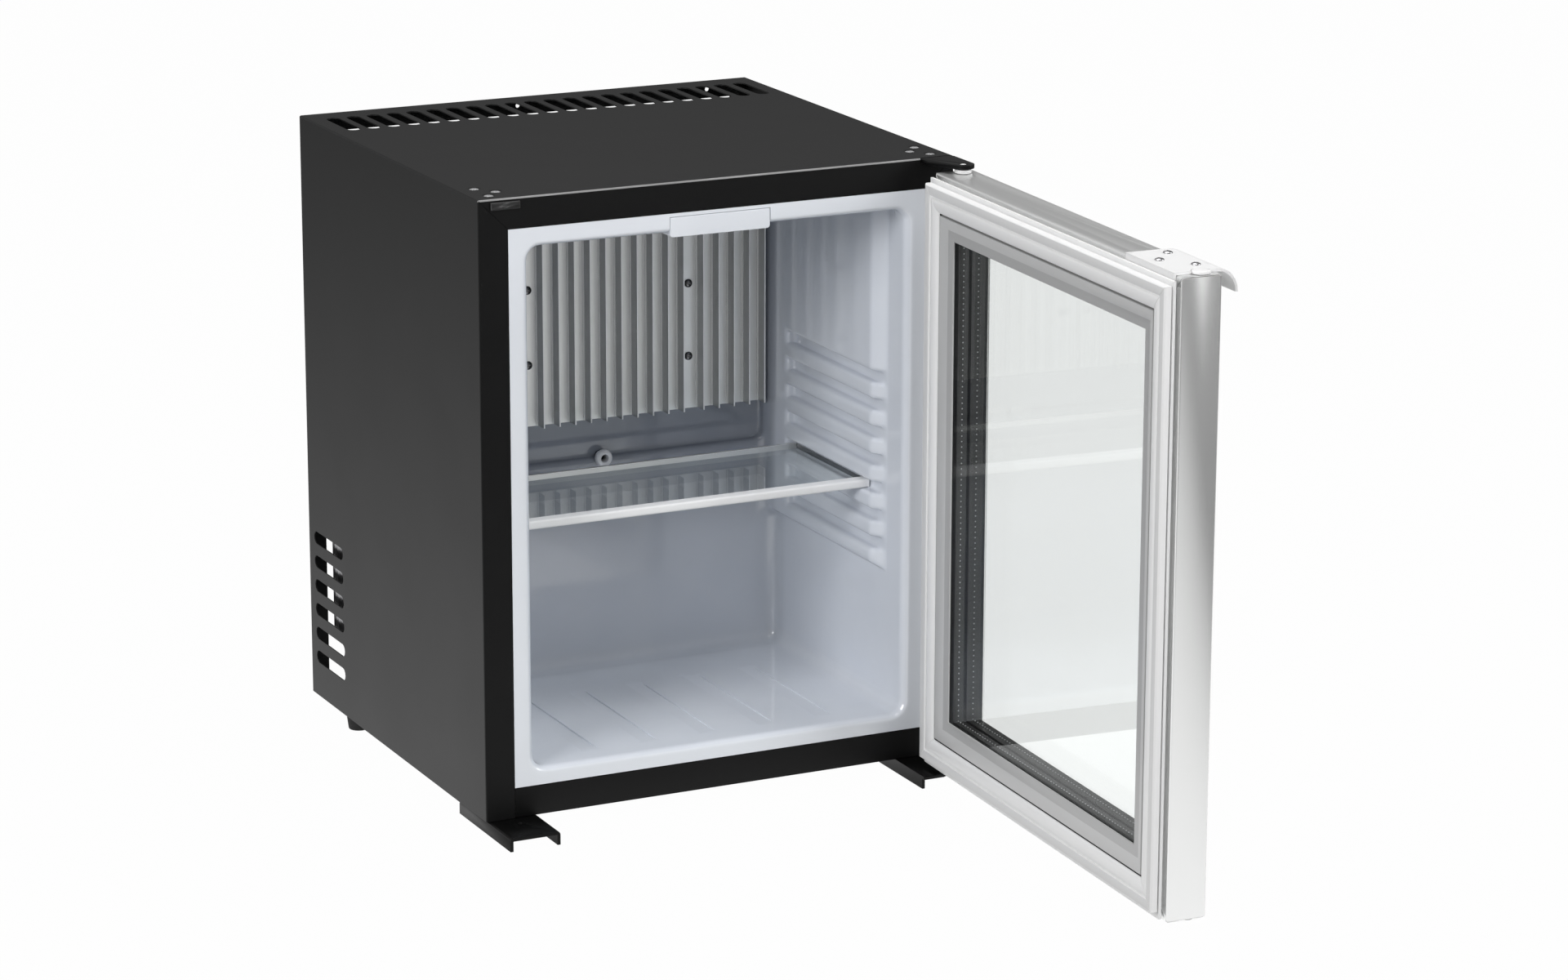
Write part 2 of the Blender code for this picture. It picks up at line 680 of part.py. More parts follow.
def hinge_slot_plug(parent):
    low = PLUG_Z - PLUG_HEIGHT / 2
    top = PLUG_Z + PLUG_HEIGHT / 2
    right = PLUG_LEFT_X + PLUG_WIDTH
    plug = block("hinge_slot_plug", (PLUG_LEFT_X, -SHEET - FIT, low), (right, -FIT, top))
    round_edges(plug, SHEET / 2, 2, lambda start, end: max(start.y, end.y) < 0)
    keep(plug, parent, BLACK_PLASTIC)
    inset = SHEET + FIT
    stem = block("plug_stem", (PLUG_LEFT_X + inset, -SHEET, low + inset), (right - inset, SHEET, top - inset))
    fuse(plug, stem)
    return plug


# Insulated box

def inner_liner(parent):
    half = LINER_HALF + LINER_WALL
    top = LINER_CEILING_Z + LINER_WALL
    low = LINER_FLOOR_Z - LINER_FLOOR_WALL
    liner = block("inner_liner", (-half, SHEET / 2, low), (half, LINER_BACK_Y + LINER_WALL, top))
    keep(liner, parent, WHITE_PLASTIC)
    flange_half = WINDOW_HALF - FIT
    flange_low = (-flange_half, 0, FRONT_FLANGE + FIT)
    fuse(liner, block("liner_flange", flange_low, (flange_half, LINER_WALL, WINDOW_TOP - FIT)))
    bulge_half = POCKET_HALF + LINER_WALL
    bulge_low = (-bulge_half, LINER_BACK_Y, POCKET_LOW_Z - LINER_WALL)
    fuse(liner, block("pocket_shell", bulge_low, (bulge_half, POCKET_Y + LINER_WALL, top - SHEET)))
    cut(liner, cavity())
    cut(liner, mouth())
    for side in (-1, 1):
        fuse(liner, shelf_pad(side))
    cut(liner, shelf_grooves())
    low = (-POCKET_HALF, LINER_BACK_Y - SHEET, POCKET_LOW_Z)
    pocket = block("pocket", low, (POCKET_HALF, POCKET_Y, POCKET_TOP_Z))
    round_edges(pocket, POCKET_CORNER, 3, along(1))
    cut(liner, pocket)
    cut(liner, floor_grooves())
    cut(liner, lamp_space("lamp_opening", -SHEET, FIT))
    cut(liner, rod("collar_hole", HOSE_RADIUS + FIT, (DRAIN_X, LINER_BACK_Y - SHEET, DRAIN_Z), 0.02, "Y", 16))
    return liner


def cavity():
    space = block("cavity", (-LINER_HALF, -0.02, LINER_FLOOR_Z), (LINER_HALF, LINER_BACK_Y, LINER_CEILING_Z))
    front = -(LINER_BACK_Y + 0.02) / 2
    round_edges(space, LINER_CORNER, 3, lambda start, end: max(start.y, end.y) > front + SHEET)
    return space


def mouth():
    # The opening widens towards the flange
    half = LINER_HALF + MOUTH_FLARE * 2
    low = (-half, -MOUTH_DEPTH, LINER_FLOOR_Z - MOUTH_RISE * 2)
    space = block("mouth", low, (half, MOUTH_DEPTH, LINER_CEILING_Z + MOUTH_RISE * 2))
    round_edges(space, LINER_CORNER + MOUTH_FLARE, 3, along(1))
    for vertex in space.data.vertices:
        if vertex.co.y > 0:
            vertex.co.x -= math.copysign(MOUTH_FLARE * 2 + SHEET, vertex.co.x)
            vertex.co.z -= math.copysign(MOUTH_RISE * 2 + SHEET, vertex.co.z)
    return space


def shelf_pad(side):
    # A raised band on the side wall with a ramp at its front and grooves for the shelf
    wall = LINER_HALF + LINER_WALL / 2
    foot_front = PAD_FRONT_Y - PAD_RAMP
    rear = LINER_BACK_Y + LINER_WALL / 2
    top = LINER_CEILING_Z + LINER_WALL / 2
    plan = [(wall, foot_front), (PAD_HALF, PAD_FRONT_Y), (PAD_HALF, rear), (wall, rear)]
    outline = [(x * side, y) for x, y in plan]
    pad = sheet("pad", [outline], top - PAD_FOOT_Z, (0, 0, (top + PAD_FOOT_Z) / 2))
    slope_foot(pad)
    return pad


def shelf_grooves():
    # The grooves of both sides, open at the front through the pads' ramps
    boxes = []
    for index in range(GROOVE_COUNT):
        middle = GROOVE_LOWEST_Z + index * GROOVE_PITCH
        low = middle - GROOVE_HEIGHT / 2
        top = middle + GROOVE_HEIGHT / 2
        inner = PAD_HALF - SHEET
        outer = PAD_HALF + GROOVE_DEPTH
        boxes.append(((inner, PAD_FRONT_Y - PAD_RAMP, low), (outer, GROOVE_END_Y, top)))
        boxes.append(((-outer, PAD_FRONT_Y - PAD_RAMP, low), (-inner, GROOVE_END_Y, top)))
    return blocks("shelf_grooves", boxes)


def slope_foot(pad):
    # The pad's lower edge leans back, so its inner face starts higher than its root
    floor = min(vertex.co.z for vertex in pad.data.vertices)
    for vertex in pad.data.vertices:
        if vertex.co.z < floor + SHEET and abs(vertex.co.x) < PAD_HALF + SHEET:
            vertex.co.z += PAD_FOOT_RISE


def floor_grooves():
    first = -(FLOOR_GROOVE_COUNT - 1) / 2
    middle = (FLOOR_GROOVE_FRONT_Y + FLOOR_GROOVE_REAR_Y) / 2
    reach = (FLOOR_GROOVE_REAR_Y - FLOOR_GROOVE_FRONT_Y) / 2
    outlines = []
    for index in range(FLOOR_GROOVE_COUNT):
        x = (first + index) * FLOOR_GROOVE_PITCH
        side = FLOOR_GROOVE_WIDTH / 2
        corners = [(x - side, middle - reach), (x + side, middle - reach)]
        corners += [(x + side, middle + reach), (x - side, middle + reach)]
        outlines.append(corners)
    return sheet("floor_grooves", outlines, FLOOR_GROOVE_DEPTH * 2, (0, 0, LINER_FLOOR_Z))


def lamp_space(name, front, gap):
    # The lamp cover's space with a gap round it
    side = LAMP_WIDTH / 2 + gap
    low = (LAMP_CENTRE_X - side, front, LAMP_LOW_Z - gap)
    return block(name, low, (LAMP_CENTRE_X + side, LAMP_DEPTH + gap, LAMP_LOW_Z + LAMP_HEIGHT + gap))


def insulation_foam(parent):
    side = INNER_HALF - FIT
    low = (-side, SHEET + FIT, SHEET + FIT)
    foam = block("insulation_foam", low, (side, BOX_DEPTH - SHEET - FIT, CASING_HEIGHT - SHEET - FIT))
    keep(foam, parent, FOAM)
    half = LINER_HALF + LINER_WALL + FIT
    floor = LINER_FLOOR_Z - LINER_FLOOR_WALL - FIT
    top = LINER_CEILING_Z + LINER_WALL + FIT
    cut(foam, block("liner_space", (-half, 0, floor), (half, LINER_BACK_Y + LINER_WALL + FIT, top)))
    cut(foam, block("flange_space", (-WINDOW_HALF, 0, 0), (WINDOW_HALF, LINER_WALL + FIT, WINDOW_TOP + FIT)))
    cut(foam, block("rail_space", (-WINDOW_HALF, 0, 0), (WINDOW_HALF, RAIL_FOLD + FIT, FRONT_FLANGE + FIT)))
    bulge = POCKET_HALF + LINER_WALL + FIT
    low = (-bulge, LINER_BACK_Y, POCKET_LOW_Z - LINER_WALL - FIT)
    cut(foam, block("pocket_space", low, (bulge, POCKET_Y + LINER_WALL + FIT, top)))
    cut(foam, recess("foam_recess", LINER_BACK_Y, BOX_DEPTH + SHEET))
    cut(foam, lamp_space("lamp_pocket", 0, FIT * 2))
    low = (TOP_ARM_LEFT_X - FIT * 2, 0, ARM_LOW - PLATE)
    cut(foam, block("arm_pocket", low, (CASING_HALF, TOP_ARM_REAR_Y + FIT, CASING_HEIGHT)))
    start = (DRAIN_X, LINER_BACK_Y - SHEET, DRAIN_Z)
    cut(foam, rod("hose_way", HOSE_RADIUS + FIT, start, BOX_DEPTH, "Y", 16))
    return foam


def comb_positions():
    # Fin places from the hinge side, with two wider channels for the screws
    places = []
    x = FIN_LAST_X
    for index in range(FIN_COUNT):
        places.append(x)
        x -= FIN_PITCH + (FIN_CHANNEL_EXTRA if index + 1 in FIN_CHANNELS else 0.0)
    return places


def evaporator_plate(parent):
    # One extrusion: a comb outline drawn in plan and stretched upwards
    side = POCKET_HALF - FIT * 2
    rear = POCKET_Y - FIT
    root = rear - FIN_PLATE
    tip = root - FIN_DEPTH
    outline = [(-side, rear), (side, rear), (side, root)]
    for x in comb_positions():
        outline += [(x + FIN_THICK / 2, root), (x + FIN_THICK / 2, tip)]
        outline += [(x - FIN_THICK / 2, tip), (x - FIN_THICK / 2, root)]
    outline.append((-side, root))
    height = POCKET_TOP_Z - POCKET_CORNER - FIN_LOW_Z
    plate = sheet("evaporator_plate", [outline], height, (0, 0, FIN_LOW_Z + height / 2))
    return keep(plate, parent, ALUMINIUM)


def evaporator_screws(parent):
    places = comb_positions()
    seat = POCKET_Y - FIT - FIN_PLATE - FIT
    screws = []
    for channel, rises in zip(FIN_CHANNELS, EVAPORATOR_SCREW_RISES):
        x = (places[channel - 1] + places[channel]) / 2
        for rise in rises:
            name = f"evaporator_screw_{len(screws) + 1}"
            front = (x, seat - EVAPORATOR_SCREW_HEAD, FIN_LOW_Z + rise)
            head = rod(name, SCREW_CROWN, front, EVAPORATOR_SCREW_HEAD, "Y", 12, SCREW_HEAD)
            screws.append(keep(head, parent, STEEL))
    return screws


def lamp_cover(parent):
    # A tray that hangs under the ceiling, open at its top
    cover = lamp_space("lamp_cover", 0, 0)
    round_edges(cover, LAMP_WALL, 2, lambda start, end: max(start.z, end.z) < 0)
    keep(cover, parent, WHITE_TRIM)
    side = LAMP_WIDTH / 2 - LAMP_WALL
    low = (LAMP_CENTRE_X - side, LAMP_WALL, LAMP_LOW_Z + LAMP_WALL)
    high = (LAMP_CENTRE_X + side, LAMP_DEPTH - LAMP_WALL, LAMP_LOW_Z + LAMP_HEIGHT * 2)
    cut(cover, block("lamp_hollow", low, high))
    return cover


def light_module(parent):
    side = LAMP_WIDTH / 2 - LAMP_WALL - FIT
    floor = LAMP_LOW_Z + LAMP_WALL + FIT
    high = (LAMP_CENTRE_X + side, LAMP_DEPTH / 2, floor + LAMP_HEIGHT / 2)
    module = block("light_module", (LAMP_CENTRE_X - side, LAMP_DEPTH / 5, floor), high)
    return keep(module, parent, WHITE_PLASTIC)


def drain_collar(parent):
    # A short flanged spout in the back wall
    stem = HOSE_RADIUS
    seat = DRAIN_PROUD
    profile = [(DRAIN_BORE, 0.0), (DRAIN_LIP, 0.0), (DRAIN_RADIUS, seat / 3), (DRAIN_RADIUS, seat)]
    profile += [(stem, seat), (stem, seat * 2), (DRAIN_BORE, seat * 2)]
    flipped = [(radius, -height) for radius, height in profile]
    place = (DRAIN_X, LINER_BACK_Y - seat - FIT, DRAIN_Z)
    collar = turned("drain_collar", flipped, place, 20, True, "Y")
    collar.rotation_euler = (math.pi / 2, 0, 0)
    return keep(collar, parent, WHITE_TRIM)


# Hinges and supports

def nose_outline(left, rear, front, corner, centre, radius):
    # A flat arm with a square left side and a round nose at the hinge pin
    right = centre[0] + radius
    nose = arc(centre, radius, -115, 0, 8)
    return [(left, rear), (left, front), (corner, front)] + nose + [(right, rear)]


def upper_hinge_bracket(parent):
    pin = (HINGE_X, HINGE_Y)
    nose_front = HINGE_Y - TOP_ARM_NOSE
    reach = SHEET * 2
    right = INNER_HALF - FIT * 2
    nose = arc(pin, TOP_ARM_NOSE, -150, 0, 9)
    outline = [(TOP_ARM_LEFT_X, reach), (TOP_ARM_LEFT_X, nose_front / 3)] + nose
    outline += [(HINGE_X + TOP_ARM_NOSE, -FIT), (right, -FIT), (right, reach)]
    arm = sheet("upper_hinge_bracket", [outline], PLATE, (0, 0, ARM_TOP - PLATE / 2))
    keep(arm, parent, BLACK_STEEL)
    under = CASING_HEIGHT - SHEET - FIT
    low = (TOP_ARM_LEFT_X, reach / 2 - SHEET, under - PLATE)
    root = block("arm_root", low, (right, TOP_ARM_REAR_Y, under))
    fuse(arm, root)
    hole = (HINGE_X, HINGE_Y, ARM_LOW - PLATE)
    cut(arm, rod("arm_hole", PIN_RADIUS + FIT, hole, PLATE * 3))
    return arm


def upper_hinge_pin(parent):
    low = DOOR_TOP_Z - BUSH_DEPTH + SHEET
    length = ARM_TOP - low
    pin = rod("upper_hinge_pin", PIN_RADIUS, (HINGE_X, HINGE_Y, low), length)
    return keep(pin, parent, STEEL)


def lower_bracket_right(parent):
    left = HINGE_X + BRACKET_NOSE - BRACKET_WIDTH
    pin = (HINGE_X, HINGE_Y)
    outline = nose_outline(left, BRACKET_REAR_Y, BRACKET_FRONT_Y, left + BRACKET_SHOULDER, pin, BRACKET_NOSE)
    plate = sheet("lower_bracket_right", [outline], PLATE, (0, 0, BRACKET_TOP - PLATE / 2))
    keep(plate, parent, BLACK_STEEL)
    right = HINGE_X + BRACKET_NOSE
    wall = BRACKET_WALL
    top = BRACKET_TOP - PLATE / 2
    low = (left, BRACKET_FRONT_Y + PLATE, -FOOT_DROP)
    fuse(plate, block("left_flange", low, (left + wall, BRACKET_REAR_Y, top)))
    fuse(plate, block("right_flange", (right - wall, 0, -FOOT_DROP), (right, BRACKET_REAR_Y, top)))
    cut(plate, rod("bracket_hole", PIN_RADIUS + FIT, (HINGE_X, HINGE_Y, -PLATE * 2), PLATE * 3))
    return plate


def lower_hinge_pin(parent):
    low = BRACKET_TOP - PLATE
    length = DOOR_LOW_Z + BUSH_DEPTH - SHEET - low
    pin = rod("lower_hinge_pin", PIN_RADIUS, (HINGE_X, HINGE_Y, low), length)
    return keep(pin, parent, STEEL)


def lower_bracket_left(parent):
    # A folded channel that holds the casing up at the handle side
    outer = -CASING_HALF + BRACKET_OUTER_X
    low = (outer, LEFT_BRACKET_FRONT_Y, -FOOT_DROP)
    channel = block("lower_bracket_left", low, (LEFT_BRACKET_INNER_X, BRACKET_REAR_Y, BRACKET_TOP))
    round_edges(channel, LEFT_BRACKET_BEND, 3, lambda start, end: min(start.z, end.z) > 0
                and abs(end.y - start.y) > SHEET)
    keep(channel, parent, BLACK_STEEL)
    low = (outer + BRACKET_WALL, LEFT_BRACKET_FRONT_Y - SHEET, -FOOT_DROP - SHEET)
    high = (LEFT_BRACKET_INNER_X - BRACKET_WALL, BRACKET_REAR_Y + SHEET, BRACKET_TOP - PLATE)
    cut(channel, block("channel_hollow", low, high))
    start = (LEFT_HOLE_X, LEFT_HOLE_Y, -PLATE * 2)
    cut(channel, rod("channel_hole", LEFT_HOLE_RADIUS, start, PLATE * 3, sides=16))
    return channel


def rear_feet(parent):
    feet = []
    for name, side in (("rear_foot_left", -1), ("rear_foot_right", 1)):
        sole = (side * FOOT_X, FOOT_Y, -FOOT_DROP)
        foot = rod(name, FOOT_SOLE_RADIUS, sole, FOOT_DROP - FIT, sides=24, end_radius=FOOT_TOP_RADIUS)
        feet.append(keep(foot, parent, BLACK_RUBBER))
    return feet


# Door: pieces are drawn in the closed pose, with X running from the hinge axis to -U

def inset(across, up, amount):
    # A rectangle drawn in by the same amount on every side
    return (across[0] + amount, across[1] - amount, up[0] + amount, up[1] - amount)


def ring(name, loops):
    # A mitred ring lofted through rectangles: each loop is a rectangle and its depth K
    shape = bmesh.new()
    rows = []
    for (hinge, free, low, top), depth in loops:
        corners = ((-hinge, low), (-free, low), (-free, top), (-hinge, top))
        rows.append([shape.verts.new((x, depth, z)) for x, z in corners])
    for index, row in enumerate(rows):
        following = rows[(index + 1) % len(rows)]
        for corner in range(4):
            beside = (corner + 1) % 4
            shape.faces.new((row[corner], row[beside], following[beside], following[corner]))
    bmesh.ops.recalc_face_normals(shape, faces=shape.faces)
    return from_bmesh(name, shape)


def mitred_bar(name, side, section, shortened):
    # A bar along one side of the door, its section given as (distance inwards, depth K)
    hinge, free, low, top = inset(DOOR_U, DOOR_Z, 0)
    ends = []
    for sign in (-1, 1):
        row = []
        for inward, depth in section:
            pull = inward + shortened
            if side in ("bottom", "top"):
                x = -(hinge + pull) if sign < 0 else -(free - pull)
                z = low + inward if side == "bottom" else top - inward
            else:
                x = -(hinge + inward) if side == "hinge" else -(free - inward)
                z = low + pull if sign < 0 else top - pull
            row.append((x, depth, z))
        ends.append(row)
    shape = bmesh.new()
    first, last = [[shape.verts.new(place) for place in row] for row in ends]
    for index in range(len(section)):
        beside = (index + 1) % len(section)
        shape.faces.new((first[index], first[beside], last[beside], last[index]))
    shape.faces.new(first)
    shape.faces.new(last)
    bmesh.ops.recalc_face_normals(shape, faces=shape.faces)
    return from_bmesh(name, shape)


def door_rail(parent, side):
    lip_rear = DOOR_FRONT_K + RAIL_LIP_THICK
    edge = RAIL_EDGE
    section = [(edge, DOOR_FRONT_K), (RAIL_LIP, DOOR_FRONT_K), (RAIL_LIP, lip_rear), (RAIL_BODY, lip_rear)]
    section += [(RAIL_BODY, DOOR_REAR_K), (edge, DOOR_REAR_K)]
    section += [(0, DOOR_REAR_K - edge), (0, DOOR_FRONT_K + edge)]
    rail = mitred_bar(f"door_rail_{side}", side, section, MITRE_GAP)
    keep(rail, parent, ALUMINIUM)
    inner = RAIL_BODY - RAIL_WALL
    front = lip_rear + RAIL_WALL
    rear = DOOR_REAR_K - RAIL_WALL
    core = [(RAIL_WALL, front), (inner, front), (inner, rear), (RAIL_WALL, rear)]
    cut(rail, mitred_bar(f"{side}_core", side, core, -SHEET))
    for tool in rail_holes(side):
        cut(rail, tool)
    return rail


def rail_holes(side):
    # Bush and plug holes run through the mitred corners, screw holes through the top rail
    tools = []
    top = DOOR_TOP_Z - BUSH_DEPTH - SHEET
    low = DOOR_LOW_Z - SHEET
    depth = BUSH_DEPTH + SHEET * 2
    corners = {"hinge": (0,), "free": (FREE_PLUG_U,), "top": (0, FREE_PLUG_U), "bottom": (0, FREE_PLUG_U)}
    for u in corners[side]:
        if side != "bottom":
            tools.append(rod("top_hole", BUSH_RADIUS + FIT, (-u, 0, top), depth, sides=20))
        if side != "top":
            tools.append(rod("low_hole", BUSH_RADIUS + FIT, (-u, 0, low), depth, sides=20))
    if side == "top":
        for u, k in screw_places():
            place = (-u, k, DOOR_TOP_Z - RAIL_WALL * 2)
            tools.append(rod("screw_hole", SCREW_SHANK + FIT, place, RAIL_WALL * 4, sides=12))
    return tools


def bead_frame(parent):
    # The grey frame that holds the glass: a sloping face, a base and a leg on the rails
    window = (*WINDOW_U, *WINDOW_Z)
    slope_end = (*[value + step for value, step in zip(window, spread(BEAD_WIDTH))],)
    base = inset(DOOR_U, DOOR_Z, RAIL_LEG_OUTER)
    leg = inset(DOOR_U, DOOR_Z, RAIL_LEG_INNER)
    seat = INNER_PANE_K + INNER_PANE + FIT
    ledge = seat + BEAD_BASE
    loops = [(window, seat), (window, BEAD_EDGE_K), (slope_end, BEAD_OUTER_K), (slope_end, ledge)]
    loops += [(base, ledge), (base, DOOR_REAR_K + FIT), (leg, DOOR_REAR_K + FIT), (leg, seat)]
    return keep(ring("bead_frame", loops), parent, GREY_TRIM)


def spread(amount):
    return (-amount, amount, -amount, amount)


def door_gasket(parent):
    # A magnetic seal with a lip, a dark groove and a second flange
    base = INNER_PANE_K + INNER_PANE + FIT * 2 + BEAD_BASE
    face = GASKET_FACE_K
    groove = face - GASKET_GROOVE
    edge = GASKET_EDGE
    far = GASKET_LIP + GASKET_GROOVE_WIDTH
    inner = GASKET_WIDTH - FIT
    steps = [(0.0, base), (0.0, face - edge), (edge, face), (GASKET_LIP, face), (GASKET_LIP + edge, groove)]
    steps += [(far, groove), (far + edge, face - edge), (inner - edge, face - edge * 2)]
    steps += [(inner, BEAD_OUTER_K), (inner, base)]
    loops = [(inset(GASKET_U, GASKET_Z, amount), depth) for amount, depth in steps]
    return keep(ring("door_gasket", loops), parent, GASKET_WHITE)


def pane(parent, name, front, thickness):
    hinge, free, low, top = inset(DOOR_U, DOOR_Z, PANE_INSET)
    glass = block(name, (-free, front, low), (-hinge, front + thickness, top))
    return keep(glass, parent, GLASS)


def glazing_ring(parent, name, front, rear, outer, inner, surface):
    loops = [(outer, front), (inner, front), (inner, rear), (outer, rear)]
    return keep(ring(name, loops), parent, surface)


def glazing(parent):
    outer_pane_rear = OUTER_PANE_K + OUTER_PANE
    middle_rear = MIDDLE_PANE_K + MIDDLE_PANE
    pane(parent, "pane_outer", OUTER_PANE_K, OUTER_PANE)
    pane(parent, "pane_middle", MIDDLE_PANE_K, MIDDLE_PANE)
    pane(parent, "pane_inner", INNER_PANE_K, INNER_PANE)
    inner = (*WINDOW_U, *WINDOW_Z)
    outer = tuple(value + step for value, step in zip(inner, spread(SPACER_WIDTH)))
    glazing_ring(parent, "spacer_outer", outer_pane_rear + FIT, MIDDLE_PANE_K - FIT, outer, inner, ALUMINIUM)
    glazing_ring(parent, "spacer_inner", middle_rear + FIT, INNER_PANE_K - FIT, outer, inner, ALUMINIUM)
    seal_front = DOOR_FRONT_K + RAIL_LIP_THICK + FIT
    seal_outer = inset(DOOR_U, DOOR_Z, RAIL_LIP - GLAZING_SEAL_WIDTH)
    seal_inner = inset(DOOR_U, DOOR_Z, RAIL_LIP)
    glazing_ring(parent, "glazing_seal", seal_front, OUTER_PANE_K - FIT, seal_outer, seal_inner, BLACK_RUBBER)


def handle(parent):
    # A folded strip: a drop at the back, a flat on the door's top and a curved lip to pull
    flat_low = DOOR_TOP_Z + FIT
    flat_top = flat_low + HANDLE_PLATE
    back = DOOR_REAR_K + FIT
    bend = DOOR_FRONT_K - SHEET
    reach = bend - HANDLE_LIP_K
    fall = flat_top - HANDLE_LIP_Z
    outer = [(bend - reach * math.sin(a), HANDLE_LIP_Z + fall * math.cos(a)) for a in quarter_turns()]
    thin = HANDLE_LIP_THICK
    inner = []
    for a in reversed(quarter_turns()):
        height = HANDLE_LIP_Z + (fall - HANDLE_PLATE) * math.cos(a)
        inner.append((bend - (reach - thin) * math.sin(a), height))
    profile = [(HANDLE_REAR_K, flat_top - HANDLE_DROP), (HANDLE_REAR_K, flat_top)] + outer + inner
    profile += [(back, flat_low), (back, flat_top - HANDLE_DROP)]
    middle = (HANDLE_U[0] + HANDLE_U[1]) / 2
    length = HANDLE_U[1] - HANDLE_U[0]
    strip = sheet("door_handle", [profile], length, (-middle, 0, 0), UPRIGHT_X)
    keep(strip, parent, WHITE_TRIM)
    notch = FREE_PLUG_RADIUS + RUN
    cut(strip, rod("plug_notch", notch, (-FREE_PLUG_U, 0, DOOR_TOP_Z - SHEET), HANDLE_PLATE * 3))
    for u, k in screw_places():
        place = (-u, k, DOOR_TOP_Z - SHEET)
        cut(strip, rod("handle_hole", SCREW_SHANK + FIT, place, HANDLE_PLATE * 3, sides=12))
    return strip


def screw_places():
    # U and K of the handle's screws, whose first numbers are counted back from the free plug
    return [(FREE_PLUG_U - back, k) for back, k in HANDLE_SCREWS]


def quarter_turns(steps=8):
    return [math.pi / 2 * step / steps for step in range(steps + 1)]


def handle_screws(parent):
    seat = DOOR_TOP_Z + FIT + HANDLE_PLATE + FIT
    tip = DOOR_TOP_Z - RAIL_WALL * 2
    for number, (u, k) in enumerate(screw_places(), 1):
        head = SCREW_HEAD_HEIGHT
        profile = [(0, seat + head), (SCREW_CROWN, seat + head), (SCREW_HEAD, seat + head / 2)]
        profile += [(SCREW_HEAD, seat), (SCREW_SHANK, seat), (SCREW_SHANK, tip), (0, tip)]
        keep(turned(f"handle_screw_{number}", profile, (-u, k, 0), 12), parent, STEEL)


def hinge_bushes(parent):
    # Each bush lines a hole in the frame and carries a collar that the door turns on
    bore = PIN_RADIUS + FIT
    top = DOOR_TOP_Z + FIT
    collar = ARM_LOW - FIT - RUN
    profile = [(bore, collar), (BUSH_COLLAR, collar), (BUSH_COLLAR, top), (BUSH_RADIUS, top)]
    profile += [(BUSH_RADIUS, DOOR_TOP_Z - BUSH_DEPTH), (bore, DOOR_TOP_Z - BUSH_DEPTH)]
    keep(turned("hinge_bush_top", profile, (0, 0, 0), 24, True), parent, WHITE_TRIM)
    low = DOOR_LOW_Z - FIT
    seat = BRACKET_TOP + FIT * 1.5
    profile = [(bore, DOOR_LOW_Z + BUSH_DEPTH), (BUSH_RADIUS, DOOR_LOW_Z + BUSH_DEPTH), (BUSH_RADIUS, low)]
    profile += [(BUSH_COLLAR, low), (BUSH_COLLAR, seat), (bore, seat)]
    keep(turned("hinge_bush_bottom", profile, (0, 0, 0), 24, True), parent, BLACK_PLASTIC)


def free_plugs(parent):
    # They fill the holes that a hinge on the other side would use
    radius = FREE_PLUG_RADIUS
    top = DOOR_TOP_Z + FIT + FREE_PLUG_HEIGHT
    seat = DOOR_TOP_Z + FIT
    tip = DOOR_TOP_Z - BUSH_DEPTH
    edge = FREE_PLUG_HEIGHT / 3
    profile = [(0, top), (radius - edge, top), (radius, top - edge), (radius, seat)]
    profile += [(BUSH_RADIUS, seat), (BUSH_RADIUS, tip), (0, tip)]
    keep(turned("free_plug_top", profile, (-FREE_PLUG_U, 0, 0), 24), parent, WHITE_TRIM)
    seat = DOOR_LOW_Z - FIT
    low = BRACKET_TOP + RUN
    profile = [(0, DOOR_LOW_Z + BUSH_DEPTH), (BUSH_RADIUS, DOOR_LOW_Z + BUSH_DEPTH), (BUSH_RADIUS, seat)]
    profile += [(BUSH_COLLAR, seat), (BUSH_COLLAR, low), (0, low)]
    keep(turned("free_plug_bottom", profile, (-FREE_PLUG_U, 0, 0), 24), parent, BLACK_PLASTIC)


# Shelf

def shelf(parent):
    low = SHELF_Z
    top = SHELF_Z + SHELF_TRIM_HEIGHT
    glass_low = (low + top - SHELF_GLASS) / 2
    glass_top = glass_low + SHELF_GLASS
    front = SHELF_FRONT_Y + SHELF_TRIM_DEPTH - SHELF_BITE
    rear = SHELF_REAR_Y - SHELF_REAR_TRIM_DEPTH + SHELF_BITE
    side = SHELF_HALF - FIT
    keep(block("shelf_glass", (-side, front, glass_low), (side, rear, glass_top)), parent, GLASS)
    high = (SHELF_HALF, SHELF_FRONT_Y + SHELF_TRIM_DEPTH, top)
    trim = block("shelf_front_trim", (-SHELF_HALF, SHELF_FRONT_Y, low), high)
    round_edges(trim, SHELF_TRIM_HEIGHT / 4, 2, along_front)
    keep(trim, parent, WHITE_TRIM)
    cut(trim, glass_slot(front - FIT, SHELF_REAR_Y, glass_low, glass_top))
    low_corner = (-SHELF_HALF, SHELF_REAR_Y - SHELF_REAR_TRIM_DEPTH, low)
    trim = block("shelf_rear_trim", low_corner, (SHELF_HALF, SHELF_REAR_Y, top))
    keep(trim, parent, ALUMINIUM)
    cut(trim, glass_slot(SHELF_FRONT_Y, rear + FIT, glass_low, glass_top))


def along_front(start, end):
    return max(start.y, end.y) < 0 and abs(end.x - start.x) > SHEET


def glass_slot(front, rear, low, top):
    side = SHELF_HALF + SHEET
    return block("glass_slot", (-side, front, low - FIT), (side, rear, top + FIT))


# Cooling unit

